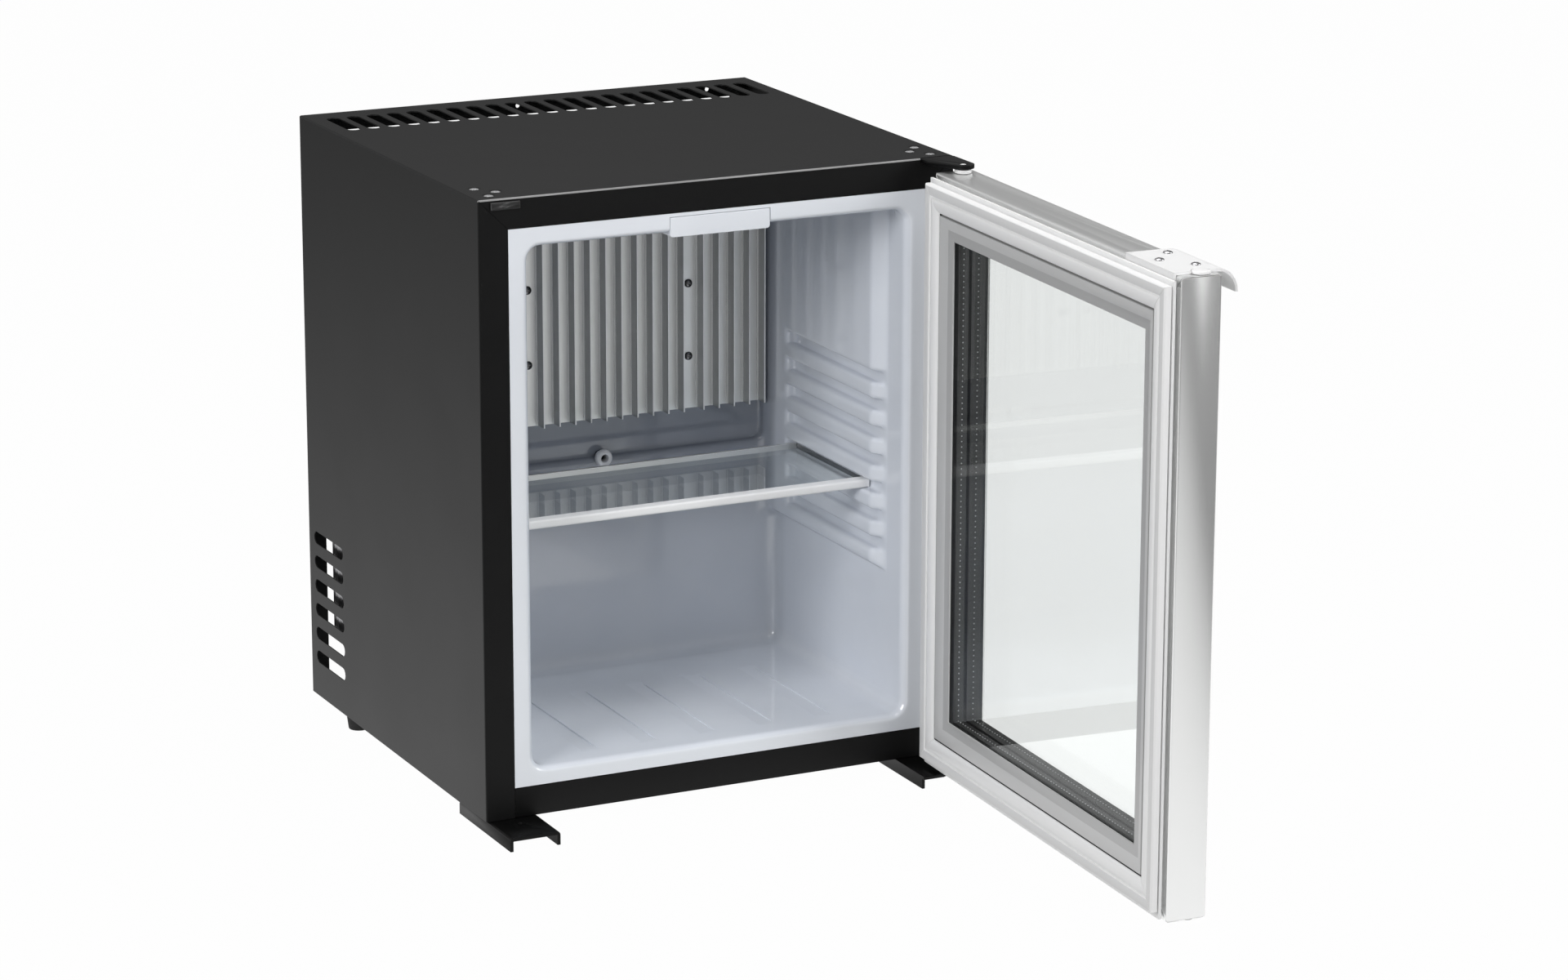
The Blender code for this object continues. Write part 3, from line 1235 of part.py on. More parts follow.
def bent_route(corners, radius, steps=4):
    # A route through corner points, with each corner rounded
    points = [Vector(corners[0])]
    for before, corner, after in zip(corners, corners[1:], corners[2:]):
        corner = Vector(corner)
        back = Vector(before) - corner
        ahead = Vector(after) - corner
        reach = min(radius, back.length / 2.05, ahead.length / 2.05)
        start = corner + back.normalized() * reach
        end = corner + ahead.normalized() * reach
        for step in range(steps + 1):
            share = step / steps
            points.append(start.lerp(corner, share).lerp(corner.lerp(end, share), share))
    points.append(Vector(corners[-1]))
    return points


def boiler_jacket(parent):
    radius = JACKET_RADIUS
    roll = SHEET * 2
    profile = [(0, JACKET_TOP_Z), (radius - roll, JACKET_TOP_Z), (radius, JACKET_TOP_Z - roll)]
    profile += [(radius, JACKET_LOW_Z + roll), (radius - roll, JACKET_LOW_Z), (0, JACKET_LOW_Z)]
    return keep(turned("boiler_jacket", profile, (JACKET_X, UNIT_Y, 0), 40), parent, GALVANISED)


def pump_tube(parent):
    start = (JACKET_X, UNIT_Y, JACKET_TOP_Z + FIT)
    corners = [start, (JACKET_X, UNIT_Y, CONDENSER_Z), (CONDENSER_X[0] - FIT, UNIT_Y, CONDENSER_Z)]
    route = bent_route(corners, PUMP_BEND)
    return keep(tube("pump_tube", route, PUMP_TUBE_RADIUS), parent, BLACK_STEEL)


def condenser(parent):
    # A tube through a row of square fins
    start, end = CONDENSER_X
    pipe = rod("condenser", PUMP_TUBE_RADIUS, (start, UNIT_Y, CONDENSER_Z), end - start, "X", 16)
    keep(pipe, parent, BLACK_STEEL)
    margin = (end - start) / (FIN_SHEET_COUNT + 1)
    fins = []
    for index in range(FIN_SHEET_COUNT):
        x = start + margin * (index + 1)
        low = (x - FIN_SHEET / 2, UNIT_Y - FIN_SHEET_HALF_Y, CONDENSER_Z - FIN_SHEET_HALF_Z)
        high = (x + FIN_SHEET / 2, UNIT_Y + FIN_SHEET_HALF_Y, CONDENSER_Z + FIN_SHEET_HALF_Z)
        fins.append((low, high))
    fuse(pipe, blocks("condenser_fins", fins))
    return pipe


def absorber_vessel(parent):
    # A drum lying across the bay, with domed ends
    start, end = VESSEL_X
    length = end - start
    radius = VESSEL_RADIUS
    dome = [math.radians(90 * step / 4) for step in range(5)]
    profile = [(radius * math.sin(a), length - VESSEL_DOME + VESSEL_DOME * math.cos(a)) for a in dome]
    profile += [(radius * math.sin(a), VESSEL_DOME - VESSEL_DOME * math.cos(a)) for a in reversed(dome)]
    profile[0] = (0, length)
    profile[-1] = (0, 0)
    vessel = turned("absorber_vessel", profile, (start, UNIT_Y, VESSEL_Z), 32, False, "X")
    return keep(vessel, parent, BLACK_STEEL)


def absorber_coil(parent):
    # Sloping runs that climb from the vessel and end at the boiler jacket
    left, right = COIL_X
    corners = [(left, UNIT_Y, VESSEL_Z + VESSEL_RADIUS + FIT)]
    for index in range(COIL_RUNS):
        height = COIL_LOW_Z + index * COIL_RUN_PITCH
        ends = (left, right) if index % 2 == 0 else (right, left)
        corners.append((ends[0], UNIT_Y, height))
        corners.append((ends[1], UNIT_Y, height + COIL_SLOPE))
    jacket_side = JACKET_X + JACKET_RADIUS + FIT
    corners[-1] = (jacket_side, UNIT_Y, corners[-1][2])
    route = bent_route(corners, COIL_RUN_PITCH / 2)
    return keep(tube("absorber_coil", route, COIL_RADIUS), parent, BLACK_STEEL)


def cold_tube(parent):
    # From the condenser into the recess, up and down behind the evaporator, and back to the vessel
    plane = POCKET_Y + LINER_WALL + COLD_TUBE_RADIUS + FIT
    gap_z = (RECESS_LOW_Z + PLUG_BLOCK_Z[0]) / 2
    high_z = PLUG_BLOCK_Z[1] - COLD_TUBE_RADIUS * 2
    low_z = PLUG_BLOCK_Z[0] + COLD_TUBE_RADIUS * 3
    out = COLD_RISER_X
    leg = COLD_LEG_X
    third = leg / 3
    turn_y = UNIT_Y - COIL_RADIUS - COLD_TUBE_RADIUS * 3
    corners = [(CONDENSER_X[1] + FIT, UNIT_Y, CONDENSER_Z), (out, UNIT_Y, CONDENSER_Z), (out, UNIT_Y, gap_z)]
    corners += [(out, turn_y, gap_z), (leg, turn_y, gap_z), (leg, plane, gap_z), (leg, plane, high_z)]
    corners += [(third, plane, high_z), (third, plane, low_z)]
    corners += [(-third, plane, low_z), (-third, plane, high_z)]
    corners += [(-leg, plane, high_z), (-leg, plane, gap_z), (-leg, UNIT_Y, gap_z)]
    corners.append((-leg, UNIT_Y, VESSEL_Z + VESSEL_RADIUS + FIT))
    route = bent_route(corners, COLD_TUBE_RADIUS * 2)
    return keep(tube("cold_tube", route, COLD_TUBE_RADIUS), parent, ALUMINIUM)


def plug_block(parent):
    # The foam plug that closes the recess behind the cold tube
    low_z, top_z = PLUG_BLOCK_Z
    front = POCKET_Y + LINER_WALL + COLD_TUBE_RADIUS * 2 + FIT * 2
    seat = BAY_Y + FIT * 2
    plug = block("plug_block", (-PLUG_BLOCK_X, front, low_z), (PLUG_BLOCK_X, seat + PLUG_BLOCK_PROUD, top_z))
    keep(plug, parent, BLACK_PLASTIC)
    half = PLUG_BLOCK_X + PLUG_BLOCK_FLANGE
    high = (half, seat + PLUG_BLOCK_PROUD, top_z + PLUG_BLOCK_FLANGE)
    fuse(plug, block("plug_flange", (-half, seat, low_z), high))
    return plug


def drain_hose(parent):
    start = (DRAIN_X, LINER_BACK_Y + DRAIN_PROUD, DRAIN_Z)
    bend_y = UNIT_Y - COIL_RADIUS - HOSE_RADIUS * 3
    end_z = VESSEL_Z + VESSEL_RADIUS + TRAY_HEIGHT / 2
    route = bent_route([start, (DRAIN_X, bend_y, DRAIN_Z), (DRAIN_X, bend_y, end_z)], HOSE_RADIUS * 3)
    return keep(tube("drain_hose", route, HOSE_RADIUS), parent, BLACK_RUBBER)


def drip_tray(parent):
    seat = VESSEL_Z + VESSEL_RADIUS + FIT
    front = BAY_Y + TRAY_FRONT_ROOM
    rear = UNIT_Y + TRAY_REACH
    tray = block("drip_tray", (-TRAY_HALF, front, seat), (TRAY_HALF, rear, seat + TRAY_HEIGHT))
    keep(tray, parent, BLACK_PLASTIC)
    wall = TRAY_WALL
    high = (TRAY_HALF - wall, rear - wall, seat + TRAY_HEIGHT * 2)
    cut(tray, block("tray_hollow", (wall - TRAY_HALF, front + wall, seat + wall), high))
    return tray


def heater_cartridge(parent):
    top = JACKET_LOW_Z - FIT
    heater = rod("heater_cartridge", HEATER_RADIUS, (JACKET_X, UNIT_Y, top - HEATER_LENGTH), HEATER_LENGTH)
    return keep(heater, parent, STEEL)


def control_box(parent):
    low = (CONTROL_LEFT_X, BAY_Y + FIT * 2, CONTROL_LOW_Z)
    high = (CONTROL_RIGHT_X, BOX_DEPTH + CONTROL_DEPTH, CONTROL_LOW_Z + CONTROL_HEIGHT)
    box = block("control_box", low, high)
    round_edges(box, PLATE, 2, lambda start, end: min(start.y, end.y) > 0)
    return keep(box, parent, BLACK_PLASTIC)


def unit_bracket(parent, name, x, tip_y, height):
    # A folded steel arm from the back panel to a vessel
    seat = BAY_Y + FIT * 2
    half = ARM_WIDTH / 2
    foot = block(name, (x - half, seat, height - ARM_WIDTH), (x + half, seat + SHEET * 2, height + half))
    keep(foot, parent, GALVANISED)
    low = (x - half, seat + SHEET, height - SHEET)
    fuse(foot, block("bracket_arm", low, (x + half, tip_y, height + SHEET)))
    return foot


def unit_brackets(parent):
    reach = UNIT_Y - VESSEL_RADIUS - FIT
    unit_bracket(parent, "vessel_bracket_left", VESSEL_X[0] + ARM_INSET, reach, VESSEL_Z)
    unit_bracket(parent, "vessel_bracket_right", VESSEL_X[1] - ARM_INSET, reach, VESSEL_Z)
    middle = (JACKET_LOW_Z + JACKET_TOP_Z) / 2
    unit_bracket(parent, "jacket_bracket", JACKET_X, UNIT_Y - JACKET_RADIUS - FIT, middle)


def build():
    cabinet = holder("cabinet_origin", (0, -CASING_DEPTH / 2, 0))
    for make in (casing_wrap, lower_front_rail, bottom_panel, cabinet_back_panel, hinge_slot_plug):
        make(cabinet)
    for make in (inner_liner, insulation_foam, evaporator_plate, evaporator_screws, lamp_cover):
        make(cabinet)
    for make in (light_module, drain_collar, upper_hinge_bracket, upper_hinge_pin, lower_bracket_right):
        make(cabinet)
    for make in (lower_hinge_pin, lower_bracket_left, rear_feet, boiler_jacket, pump_tube, condenser):
        make(cabinet)
    for make in (absorber_vessel, absorber_coil, cold_tube, plug_block, drain_hose, drip_tray):
        make(cabinet)
    for make in (heater_cartridge, control_box, unit_brackets):
        make(cabinet)
    door = holder("door_axis", (HINGE_X, HINGE_Y, 0), cabinet, DOOR_REST_ANGLE)
    for side in ("hinge", "free", "top", "bottom"):
        door_rail(door, side)
    for make in (bead_frame, door_gasket, glazing, handle, handle_screws, hinge_bushes, free_plugs):
        make(door)
    shelf(holder("shelf_slide", (0, 0, 0), cabinet))


build()
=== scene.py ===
# Minibar fridge with its glass door standing open: finishes, finer pieces, light and camera.
# Metres, X towards the hinge, Y towards the back, Z up, origin under the middle of the casing.
import json
import math

import bmesh
import bpy
from mathutils import Matrix, Vector

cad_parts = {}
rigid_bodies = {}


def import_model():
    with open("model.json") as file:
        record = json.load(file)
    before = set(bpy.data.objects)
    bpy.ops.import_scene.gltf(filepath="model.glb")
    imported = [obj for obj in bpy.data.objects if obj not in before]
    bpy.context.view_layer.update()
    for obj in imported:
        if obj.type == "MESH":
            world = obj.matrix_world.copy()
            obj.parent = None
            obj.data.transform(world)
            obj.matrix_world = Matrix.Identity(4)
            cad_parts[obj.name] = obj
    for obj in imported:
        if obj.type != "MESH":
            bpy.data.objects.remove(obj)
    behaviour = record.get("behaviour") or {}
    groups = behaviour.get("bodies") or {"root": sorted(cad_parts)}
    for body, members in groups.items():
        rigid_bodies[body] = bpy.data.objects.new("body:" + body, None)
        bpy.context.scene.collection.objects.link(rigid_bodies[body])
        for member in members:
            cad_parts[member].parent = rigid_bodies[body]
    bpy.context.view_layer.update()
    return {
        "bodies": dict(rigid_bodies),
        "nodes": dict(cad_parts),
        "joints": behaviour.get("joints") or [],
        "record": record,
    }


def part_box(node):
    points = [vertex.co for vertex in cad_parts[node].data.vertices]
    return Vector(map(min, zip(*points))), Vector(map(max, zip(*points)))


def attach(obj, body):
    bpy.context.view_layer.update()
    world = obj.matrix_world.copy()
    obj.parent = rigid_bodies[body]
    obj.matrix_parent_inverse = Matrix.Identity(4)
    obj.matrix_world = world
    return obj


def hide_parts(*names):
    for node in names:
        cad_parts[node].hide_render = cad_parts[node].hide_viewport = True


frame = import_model()
nodes = frame["nodes"]
bodyOf = {name: body for body, names in frame["record"]["behaviour"]["bodies"].items() for name in names}
frontY = -0.1875                               # the casing's front face
hinge = Vector((0.192, -0.2195, 0.0))          # a point on the door's hinge line
doorTurn = math.radians(87.6)                  # how far the door stands open
print("frame loaded:", len(nodes), "nodes")


class Wire:
    # A socket in an expression: each operator adds its Math node
    def __init__(self, tree, socket=None):
        self.tree = tree
        self.socket = socket

    def node(self, kind, values=None, settings=None, output=0):
        made = self.tree.nodes.new(kind)
        for name, value in (settings or {}).items():
            setattr(made, name, value)
        for name, value in (values or {}).items():
            if isinstance(value, Wire):
                self.tree.links.new(value.socket, made.inputs[name])
            else:
                made.inputs[name].default_value = value
        return Wire(self.tree, made.outputs[output])

    def maths(self, operation, *values):
        return self.node("ShaderNodeMath", dict(enumerate(values)), {"operation": operation})

    def __add__(self, other):
        return self.maths("ADD", self, other)

    __radd__ = __add__

    def __sub__(self, other):
        return self.maths("SUBTRACT", self, other)

    def __rsub__(self, other):
        return self.maths("SUBTRACT", other, self)

    def __mul__(self, other):
        return self.maths("MULTIPLY", self, other)

    __rmul__ = __mul__


# Parts of materials

def blankMaterial(name, roughness, metallic=0.0, level=0.5):
    surface = bpy.data.materials.new(name)
    surface.use_nodes = True
    tree = surface.node_tree
    shader = tree.nodes["Principled BSDF"]
    shader.inputs["Roughness"].default_value = roughness
    shader.inputs["Metallic"].default_value = metallic
    shader.inputs["Specular IOR Level"].default_value = level
    return surface, Wire(tree), shader


def place(wire, scale=(1.0, 1.0, 1.0)):
    # Object coordinates, stretched along an axis where the grain runs along it
    coordinates = wire.node("ShaderNodeTexCoord", output="Object")
    return wire.node("ShaderNodeMapping", {"Vector": coordinates, "Scale": scale})


def axes(wire, spot):
    # The three numbers of a vector, each a wire of its own
    parts = wire.node("ShaderNodeSeparateXYZ", {"Vector": spot})
    return [Wire(wire.tree, socket) for socket in parts.socket.node.outputs]


def eased(wire, value, ends):
    # 0 at the first end and 1 at the second, with a soft start and stop
    values = {"Value": value, "From Min": ends[0], "From Max": ends[1]}
    return wire.node("ShaderNodeMapRange", values, {"interpolation_type": "SMOOTHSTEP"})


def noise(wire, scale, detail=2.0, stretch=(1.0, 1.0, 1.0)):
    values = {"Vector": place(wire, stretch), "Scale": scale, "Detail": detail}
    return wire.node("ShaderNodeTexNoise", values)


def tint(wire, factor, dark, light):
    made = wire.tree.nodes.new("ShaderNodeMix")
    made.data_type = "RGBA"
    inlets = {item.name: item for item in made.inputs if item.enabled}
    for name, value in (("Factor", factor), ("A", dark), ("B", light)):
        if isinstance(value, Wire):
            wire.tree.links.new(value.socket, inlets[name])
        else:
            inlets[name].default_value = (*value, 1.0)
    return Wire(wire.tree, [item for item in made.outputs if item.enabled][0])


def feed(shader, socket, wire):
    wire.tree.links.new(wire.socket, shader.inputs[socket])


def bump(wire, shader, height, strength, distance):
    values = {"Height": height, "Strength": strength, "Distance": distance}
    feed(shader, "Normal", wire.node("ShaderNodeBump", values))


def blend(wire, factor, first, second):
    # The material's surface as a mix of two shaders
    mixed = wire.tree.nodes.new("ShaderNodeMixShader")
    for socket, source in zip(mixed.inputs, (factor.socket, first, second)):
        wire.tree.links.new(source, socket)
    wire.tree.links.new(mixed.outputs[0], wire.tree.nodes["Material Output"].inputs["Surface"])


# Finishes

def charcoalEnamel(name="charcoalEnamel", level=0.29):
    surface, wire, shader = blankMaterial(name, 0.5, level=level)
    grain = noise(wire, 2400.0, 3.0)
    broad = noise(wire, 14.0)
    feed(shader, "Base Color", tint(wire, broad, (0.0035, 0.0035, 0.0036), (0.0048, 0.0048, 0.0049)))
    feed(shader, "Roughness", 0.46 + broad * 0.05 + grain * 0.05)
    bump(wire, shader, grain, 0.22, 0.00008)
    return surface


def glossyLiner():
    look = {"dark": (0.70, 0.735, 0.80), "light": (0.755, 0.785, 0.84), "rim": (0.80, 0.83, 0.88),
            "lip": (-0.1862, -0.1872), "dull": (0.21, 0.23, 0.27), "shadeAtTop": 0.90, "backShade": 0.22,
            "rear": (0.022, 0.0415), "rise": (0.13, 0.222)}
    surface, wire, shader = blankMaterial("glossyLiner", 0.09, level=0.85)
    ripple = noise(wire, 26.0)
    pale = tint(wire, ripple, look["dark"], look["light"])
    # The rim is painted paler, a painted light on the flange's front, and the back wall is painted darker
    # towards the drain and the plate, a painted shade that grows upwards
    deep, high = axes(wire, place(wire))[1:]
    pale = tint(wire, eased(wire, deep, look["lip"]), pale, look["rim"])
    shade = look["backShade"] + eased(wire, high, look["rise"]) * (look["shadeAtTop"] - look["backShade"])
    feed(shader, "Base Color", tint(wire, eased(wire, deep, look["rear"]) * shade, pale, look["dull"]))
    feed(shader, "Roughness", 0.06 + ripple * 0.05)
    bump(wire, shader, ripple, 0.09, 0.0010)
    return surface


def whitePlastic(name="whitePlastic", tone=(0.80, 0.81, 0.82), roughness=0.3, level=0.5):
    surface, wire, shader = blankMaterial(name, roughness, level=level)
    cloud = noise(wire, 40.0, 1.0)
    feed(shader, "Base Color", tint(wire, cloud, [value * 0.98 for value in tone], tone))
    feed(shader, "Roughness", roughness - 0.01 + cloud * 0.02)
    bump(wire, shader, noise(wire, 1800.0), 0.03, 0.00004)
    return surface


def blackMoulding(name="blackMoulding", roughness=0.45, tone=0.012, level=0.4):
    surface, wire, shader = blankMaterial(name, roughness, level=level)
    cloud = noise(wire, 40.0)
    feed(shader, "Base Color", tint(wire, cloud, (tone * 0.8,) * 3, (tone * 1.3,) * 3))
    feed(shader, "Roughness", roughness - 0.05 + cloud * 0.1)
    bump(wire, shader, noise(wire, 1500.0), 0.2, 0.00006)
    return surface


def drawnAluminium(name, tone, along, roughness=0.3, streak=2200.0, metallic=0.8):
    # Fine streaks along the direction in which the profile was drawn
    surface, wire, shader = blankMaterial(name, roughness, metallic)
    streaks = noise(wire, streak, 2.0, [0.02 if axis == along else 1.0 for axis in range(3)])
    grain = noise(wire, 18.0) * 0.7 + streaks * 0.3
    feed(shader, "Base Color", tint(wire, grain, [value * 0.965 for value in tone], tone))
    feed(shader, "Roughness", roughness - 0.02 + streaks * 0.04)
    bump(wire, shader, streaks, 0.02, 0.00003)
    return surface


def spangledZinc():
    # Galvanised sheet, with the flat crystals of the zinc
    surface, wire, shader = blankMaterial("spangledZinc", 0.4, 0.85)
    values = {"Vector": place(wire), "Scale": 110.0}
    crystal = wire.node("ShaderNodeTexVoronoi", values, output="Color")
    tone = wire.node("ShaderNodeSeparateColor", {"Color": crystal})
    feed(shader, "Base Color", tint(wire, tone, (0.50, 0.52, 0.54), (0.60, 0.62, 0.64)))
    feed(shader, "Roughness", 0.38 + tone * 0.06)
    return surface


def turnedSteel(name="turnedSteel", tone=(0.66, 0.66, 0.67), roughness=0.24, metallic=1.0):
    surface, wire, shader = blankMaterial(name, roughness, metallic)
    rings = noise(wire, 300.0, 2.0, (1.0, 1.0, 30.0))
    feed(shader, "Base Color", tint(wire, rings, [value * 0.85 for value in tone], tone))
    feed(shader, "Roughness", roughness - 0.05 + rings * 0.1)
    return surface


def softRubber():
    surface, wire, shader = blankMaterial("blackRubber", 0.75, level=0.3)
    feed(shader, "Base Color", tint(wire, noise(wire, 90.0), (0.012,) * 3, (0.021,) * 3))
    bump(wire, shader, noise(wire, 2500.0), 0.2, 0.00005)
    return surface


def rigidFoam():
    surface, wire, shader = blankMaterial("rigidFoam", 0.9, level=0.2)
    cells = wire.node("ShaderNodeTexVoronoi", {"Vector": place(wire), "Scale": 900.0})
    feed(shader, "Base Color", tint(wire, cells, (0.78, 0.70, 0.46), (0.60, 0.52, 0.31)))
    bump(wire, shader, cells, 0.6, 0.0003)
    return surface


def clearGlass(name="clearGlass", clear=(0.994, 0.998, 0.996), strength=0.5):
    # Light passes straight through and each face mirrors a little, more so at a slant
    surface, wire, shader = blankMaterial(name, 0.02)
    facing = wire.node("ShaderNodeLayerWeight", {"Blend": 0.5}, output="Facing")
    mirror = (0.04 + 0.96 * wire.maths("POWER", facing, 5.0)) * strength
    smear = noise(wire, 9.0)
    gloss = wire.node("ShaderNodeBsdfGlossy", {"Color": (0.95, 0.97, 0.97, 1.0), "Roughness": 0.015})
    through = wire.node("ShaderNodeBsdfTransparent", {"Color": (*clear, 1.0)})
    blend(wire, mirror * (0.94 + smear * 0.12), through.socket, gloss.socket)
    wire.tree.nodes.remove(shader)
    return surface


finishes = {
    "enamel": charcoalEnamel(),
    "frontEnamel": charcoalEnamel("frontEnamel", 0.13),
    "liner": glossyLiner(),
    "trim": whitePlastic(),
    "black": blackMoulding(),
    "blackSteel": blackMoulding("blackSteel", 0.42, 0.0020, 0.13),
    # a much paler black for the casing's rounded top fold: a painted highlight
    "paintedFoldHighlight": blackMoulding("paintedFoldHighlight", 0.3, 0.26),
    "whiteTrim": whitePlastic("whiteTrim", (0.84, 0.84, 0.84), 0.4, 0.3),
    "shelfTrim": whitePlastic("shelfTrim", (0.93, 0.935, 0.94), 0.4, 0.3),
    "finMetal": drawnAluminium("finMetal", (0.97, 0.98, 0.97), 2, 0.38, 1600.0, 0.9),
    # a darker copy of the fin metal for the blades' flanks: painted shade
    "finFlankPaintedShade": drawnAluminium("finFlankPaintedShade", (0.33, 0.34, 0.35), 2, 0.35, 1600.0, 0.4),
    "finEdge": drawnAluminium("finEdge", (0.96, 0.96, 0.96), 2, 0.35, 1600.0, 0.5),
    "railUpright": drawnAluminium("railUpright", (0.88, 0.885, 0.88), 2, 0.19),
    "railAcross": drawnAluminium("railAcross", (0.88, 0.885, 0.88), 1),
    "spacer": blackMoulding("spacerBar", 0.35, 0.030),
    "spacerDot": whitePlastic("spacerDot", (0.42, 0.43, 0.44), 0.5),
    # a dark finish for the shelf glass's side faces: painted shade
    "glassEdgePaintedShade": blackMoulding("glassEdgePaintedShade", 0.2, 0.010),
    "screwHead": turnedSteel("screwHead", (0.17, 0.17, 0.175), 0.22),
    "bead": whitePlastic("beadPlastic", (0.47, 0.47, 0.47), 0.35),
    # a paler copy of the bead's grey for its sloping facet: painted light
    "beadFacetPaintedLight": whitePlastic("beadFacetPaintedLight", (0.61, 0.61, 0.61), 0.35),
    "gasket": whitePlastic("gasketVinyl", (0.93, 0.93, 0.93), 0.35),
    # a darker grey copy of the seal's vinyl for its flat: painted shade
    "gasketFlatPaintedShade": whitePlastic("gasketFlatPaintedShade", (0.77, 0.77, 0.77), 0.4),
    "zinc": spangledZinc(),
    # a darker zinc for the boiler jacket
    "darkerZinc": turnedSteel("darkerZinc", (0.36, 0.36, 0.37), 0.3),
    "steel": turnedSteel(),
    # a near-white, partly diffuse steel for the hinge pin: a painted glint
    "pinSteelPaintedGlint": turnedSteel("pinSteelPaintedGlint", (0.95, 0.95, 0.95), 0.3, 0.35),
    "screw": turnedSteel("screwSteel", (0.50, 0.50, 0.51), 0.3),
    "topScrew": turnedSteel("topScrewSteel", (0.62, 0.62, 0.63), 0.28, 0.6),
    "rubber": softRubber(),
    "foam": rigidFoam(),
    "glass": clearGlass(),
    "shelfGlass": clearGlass("shelfGlass", (0.985, 0.993, 0.99), 1.0),
}
print("finishes made:", len(finishes))

wearers = {
    "enamel": ["casing_wrap", "bottom_panel"],
    "frontEnamel": ["lower_front_rail"],
    "liner": ["inner_liner", "lamp_cover"],
    "trim": ["light_module", "drain_collar"],
    "whiteTrim": ["door_handle", "hinge_bush_top", "free_plug_top"],
    "shelfTrim": ["shelf_front_trim"],
    "black": ["hinge_slot_plug", "plug_block", "drip_tray", "control_box", "hinge_bush_bottom",
              "free_plug_bottom"],
    "blackSteel": ["upper_hinge_bracket", "lower_bracket_right", "lower_bracket_left", "pump_tube",
                   "condenser", "absorber_vessel", "absorber_coil"],
    "rubber": ["rear_foot_left", "rear_foot_right", "drain_hose", "glazing_seal"],
    "foam": ["insulation_foam"],
    "zinc": ["cabinet_back_panel", "vessel_bracket_left", "vessel_bracket_right", "jacket_bracket"],
    "darkerZinc": ["boiler_jacket"],
    "steel": ["upper_hinge_pin", "lower_hinge_pin", "heater_cartridge"],
    "finMetal": ["evaporator_plate", "cold_tube", "shelf_rear_trim"],
    "railUpright": ["door_rail_hinge", "door_rail_free"],
    "railAcross": ["door_rail_top", "door_rail_bottom"],
    "bead": ["bead_frame"],
    "gasket": ["door_gasket"],
    "glass": ["pane_outer", "pane_middle", "pane_inner"],
    "shelfGlass": ["shelf_glass"],
    "spacer": ["spacer_outer", "spacer_inner"],
}
finishOf = {name: key for key, names in wearers.items() for name in names}    # all others are screws


def paint(piece, key):
    piece.data.materials.clear()
    piece.data.materials.append(finishes[key])


for name, node in nodes.items():
    key = finishOf.get(name, "screw")
    for slot in node.material_slots:
        slot.material = finishes[key]


# Tools for meshes

def newObject(name, content):
    made = bpy.data.objects.new(name, content)
    bpy.context.scene.collection.objects.link(made)
    return made


def newPiece(name, shape, key, body=None):
    # The shape is a mesh, or a bmesh that is used up
    piece = newObject(name, shape if isinstance(shape, bpy.types.Mesh) else joinedMesh(name, [shape]))
    paint(piece, key)
    if body:
        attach(piece, body)
    return piece


def frozen(piece):
    # Works the piece's modifiers into a plain mesh
    held = bpy.context.evaluated_depsgraph_get()
    mesh = bpy.data.meshes.new_from_object(piece.evaluated_get(held))
    piece.modifiers.clear()
    piece.data = mesh


def weldedCopy(source):
    # A node's loose triangles as one closed mesh, flat areas cleared of inner edges
    work = bmesh.new()
    work.from_mesh(nodes[source].data)
    bmesh.ops.remove_doubles(work, verts=work.verts, dist=1e-6)
    bmesh.ops.dissolve_limit(work, angle_limit=math.radians(1.0), verts=work.verts, edges=work.edges)
    mesh = bpy.data.meshes.new(source + "Copy")
    work.to_mesh(mesh)
    work.free()
    return mesh


def crisp(piece, sharp, even=False):
    # Smooth over a curve's facets, crisp where two faces meet at more than this many degrees
    piece.data.shade_smooth()
    piece.data.set_sharp_from_angle(angle=math.radians(sharp))
    if even:
        piece.modifiers.new("even", "WEIGHTED_NORMAL").keep_sharp = True


def carve(piece, parts):
    # Takes the space of some closed shapes out of the piece
    cutter = newObject("cutter", joinedMesh("cutter", parts))
    boolean = piece.modifiers.new("carve", "BOOLEAN")
    boolean.operation = "DIFFERENCE"
    boolean.solver = "EXACT"
    boolean.object = cutter
    frozen(piece)
    bpy.data.objects.remove(cutter)


def roundEdges(piece, width, segments, sharp=30.0):
    bevel = piece.modifiers.new("softEdges", "BEVEL")
    bevel.width = width
    bevel.segments = segments
    bevel.limit_method = "ANGLE"
    bevel.angle_limit = math.radians(sharp)
    bevel.harden_normals = True
    piece.data.shade_smooth()


def closedBetween(work, first, second):
    # A solid between two outlines of as many corners
    work.faces.new(first)
    work.faces.new(second)
    for index in range(len(first)):
        after = (index + 1) % len(first)
        work.faces.new((first[index], first[after], second[after], second[index]))


def prism(outline, low, high, axis, roundings=()):
    # An outline pushed along an axis; each rounding is a radius and a test of an edge's two ends
    work = bmesh.new()
    ends = []
    for level in (low, high):
        corners = []
        for first, second in outline:
            spot = [first, second]
            spot.insert(axis, level)
            corners.append(work.verts.new(spot))
        ends.append(corners)
    closedBetween(work, *ends)
    bmesh.ops.recalc_face_normals(work, faces=work.faces)
    for radius, test in roundings:
        edges = [edge for edge in work.edges if test(edge.verts[0].co, edge.verts[1].co)]
        bmesh.ops.bevel(work, geom=edges, offset=radius, segments=5, profile=0.5,
                        affect="EDGES", clamp_overlap=True)
    return work


def joinedMesh(name, parts):
    whole = bmesh.new()
    for part in parts:
        step = bpy.data.meshes.new("step")
        part.to_mesh(step)
        part.free()
        whole.from_mesh(step)
        bpy.data.meshes.remove(step)
    mesh = bpy.data.meshes.new(name)
    whole.to_mesh(mesh)
    whole.free()
    return mesh


# Inner liner, drawn from one sheet: its air is built from prisms, softened, and given a wall

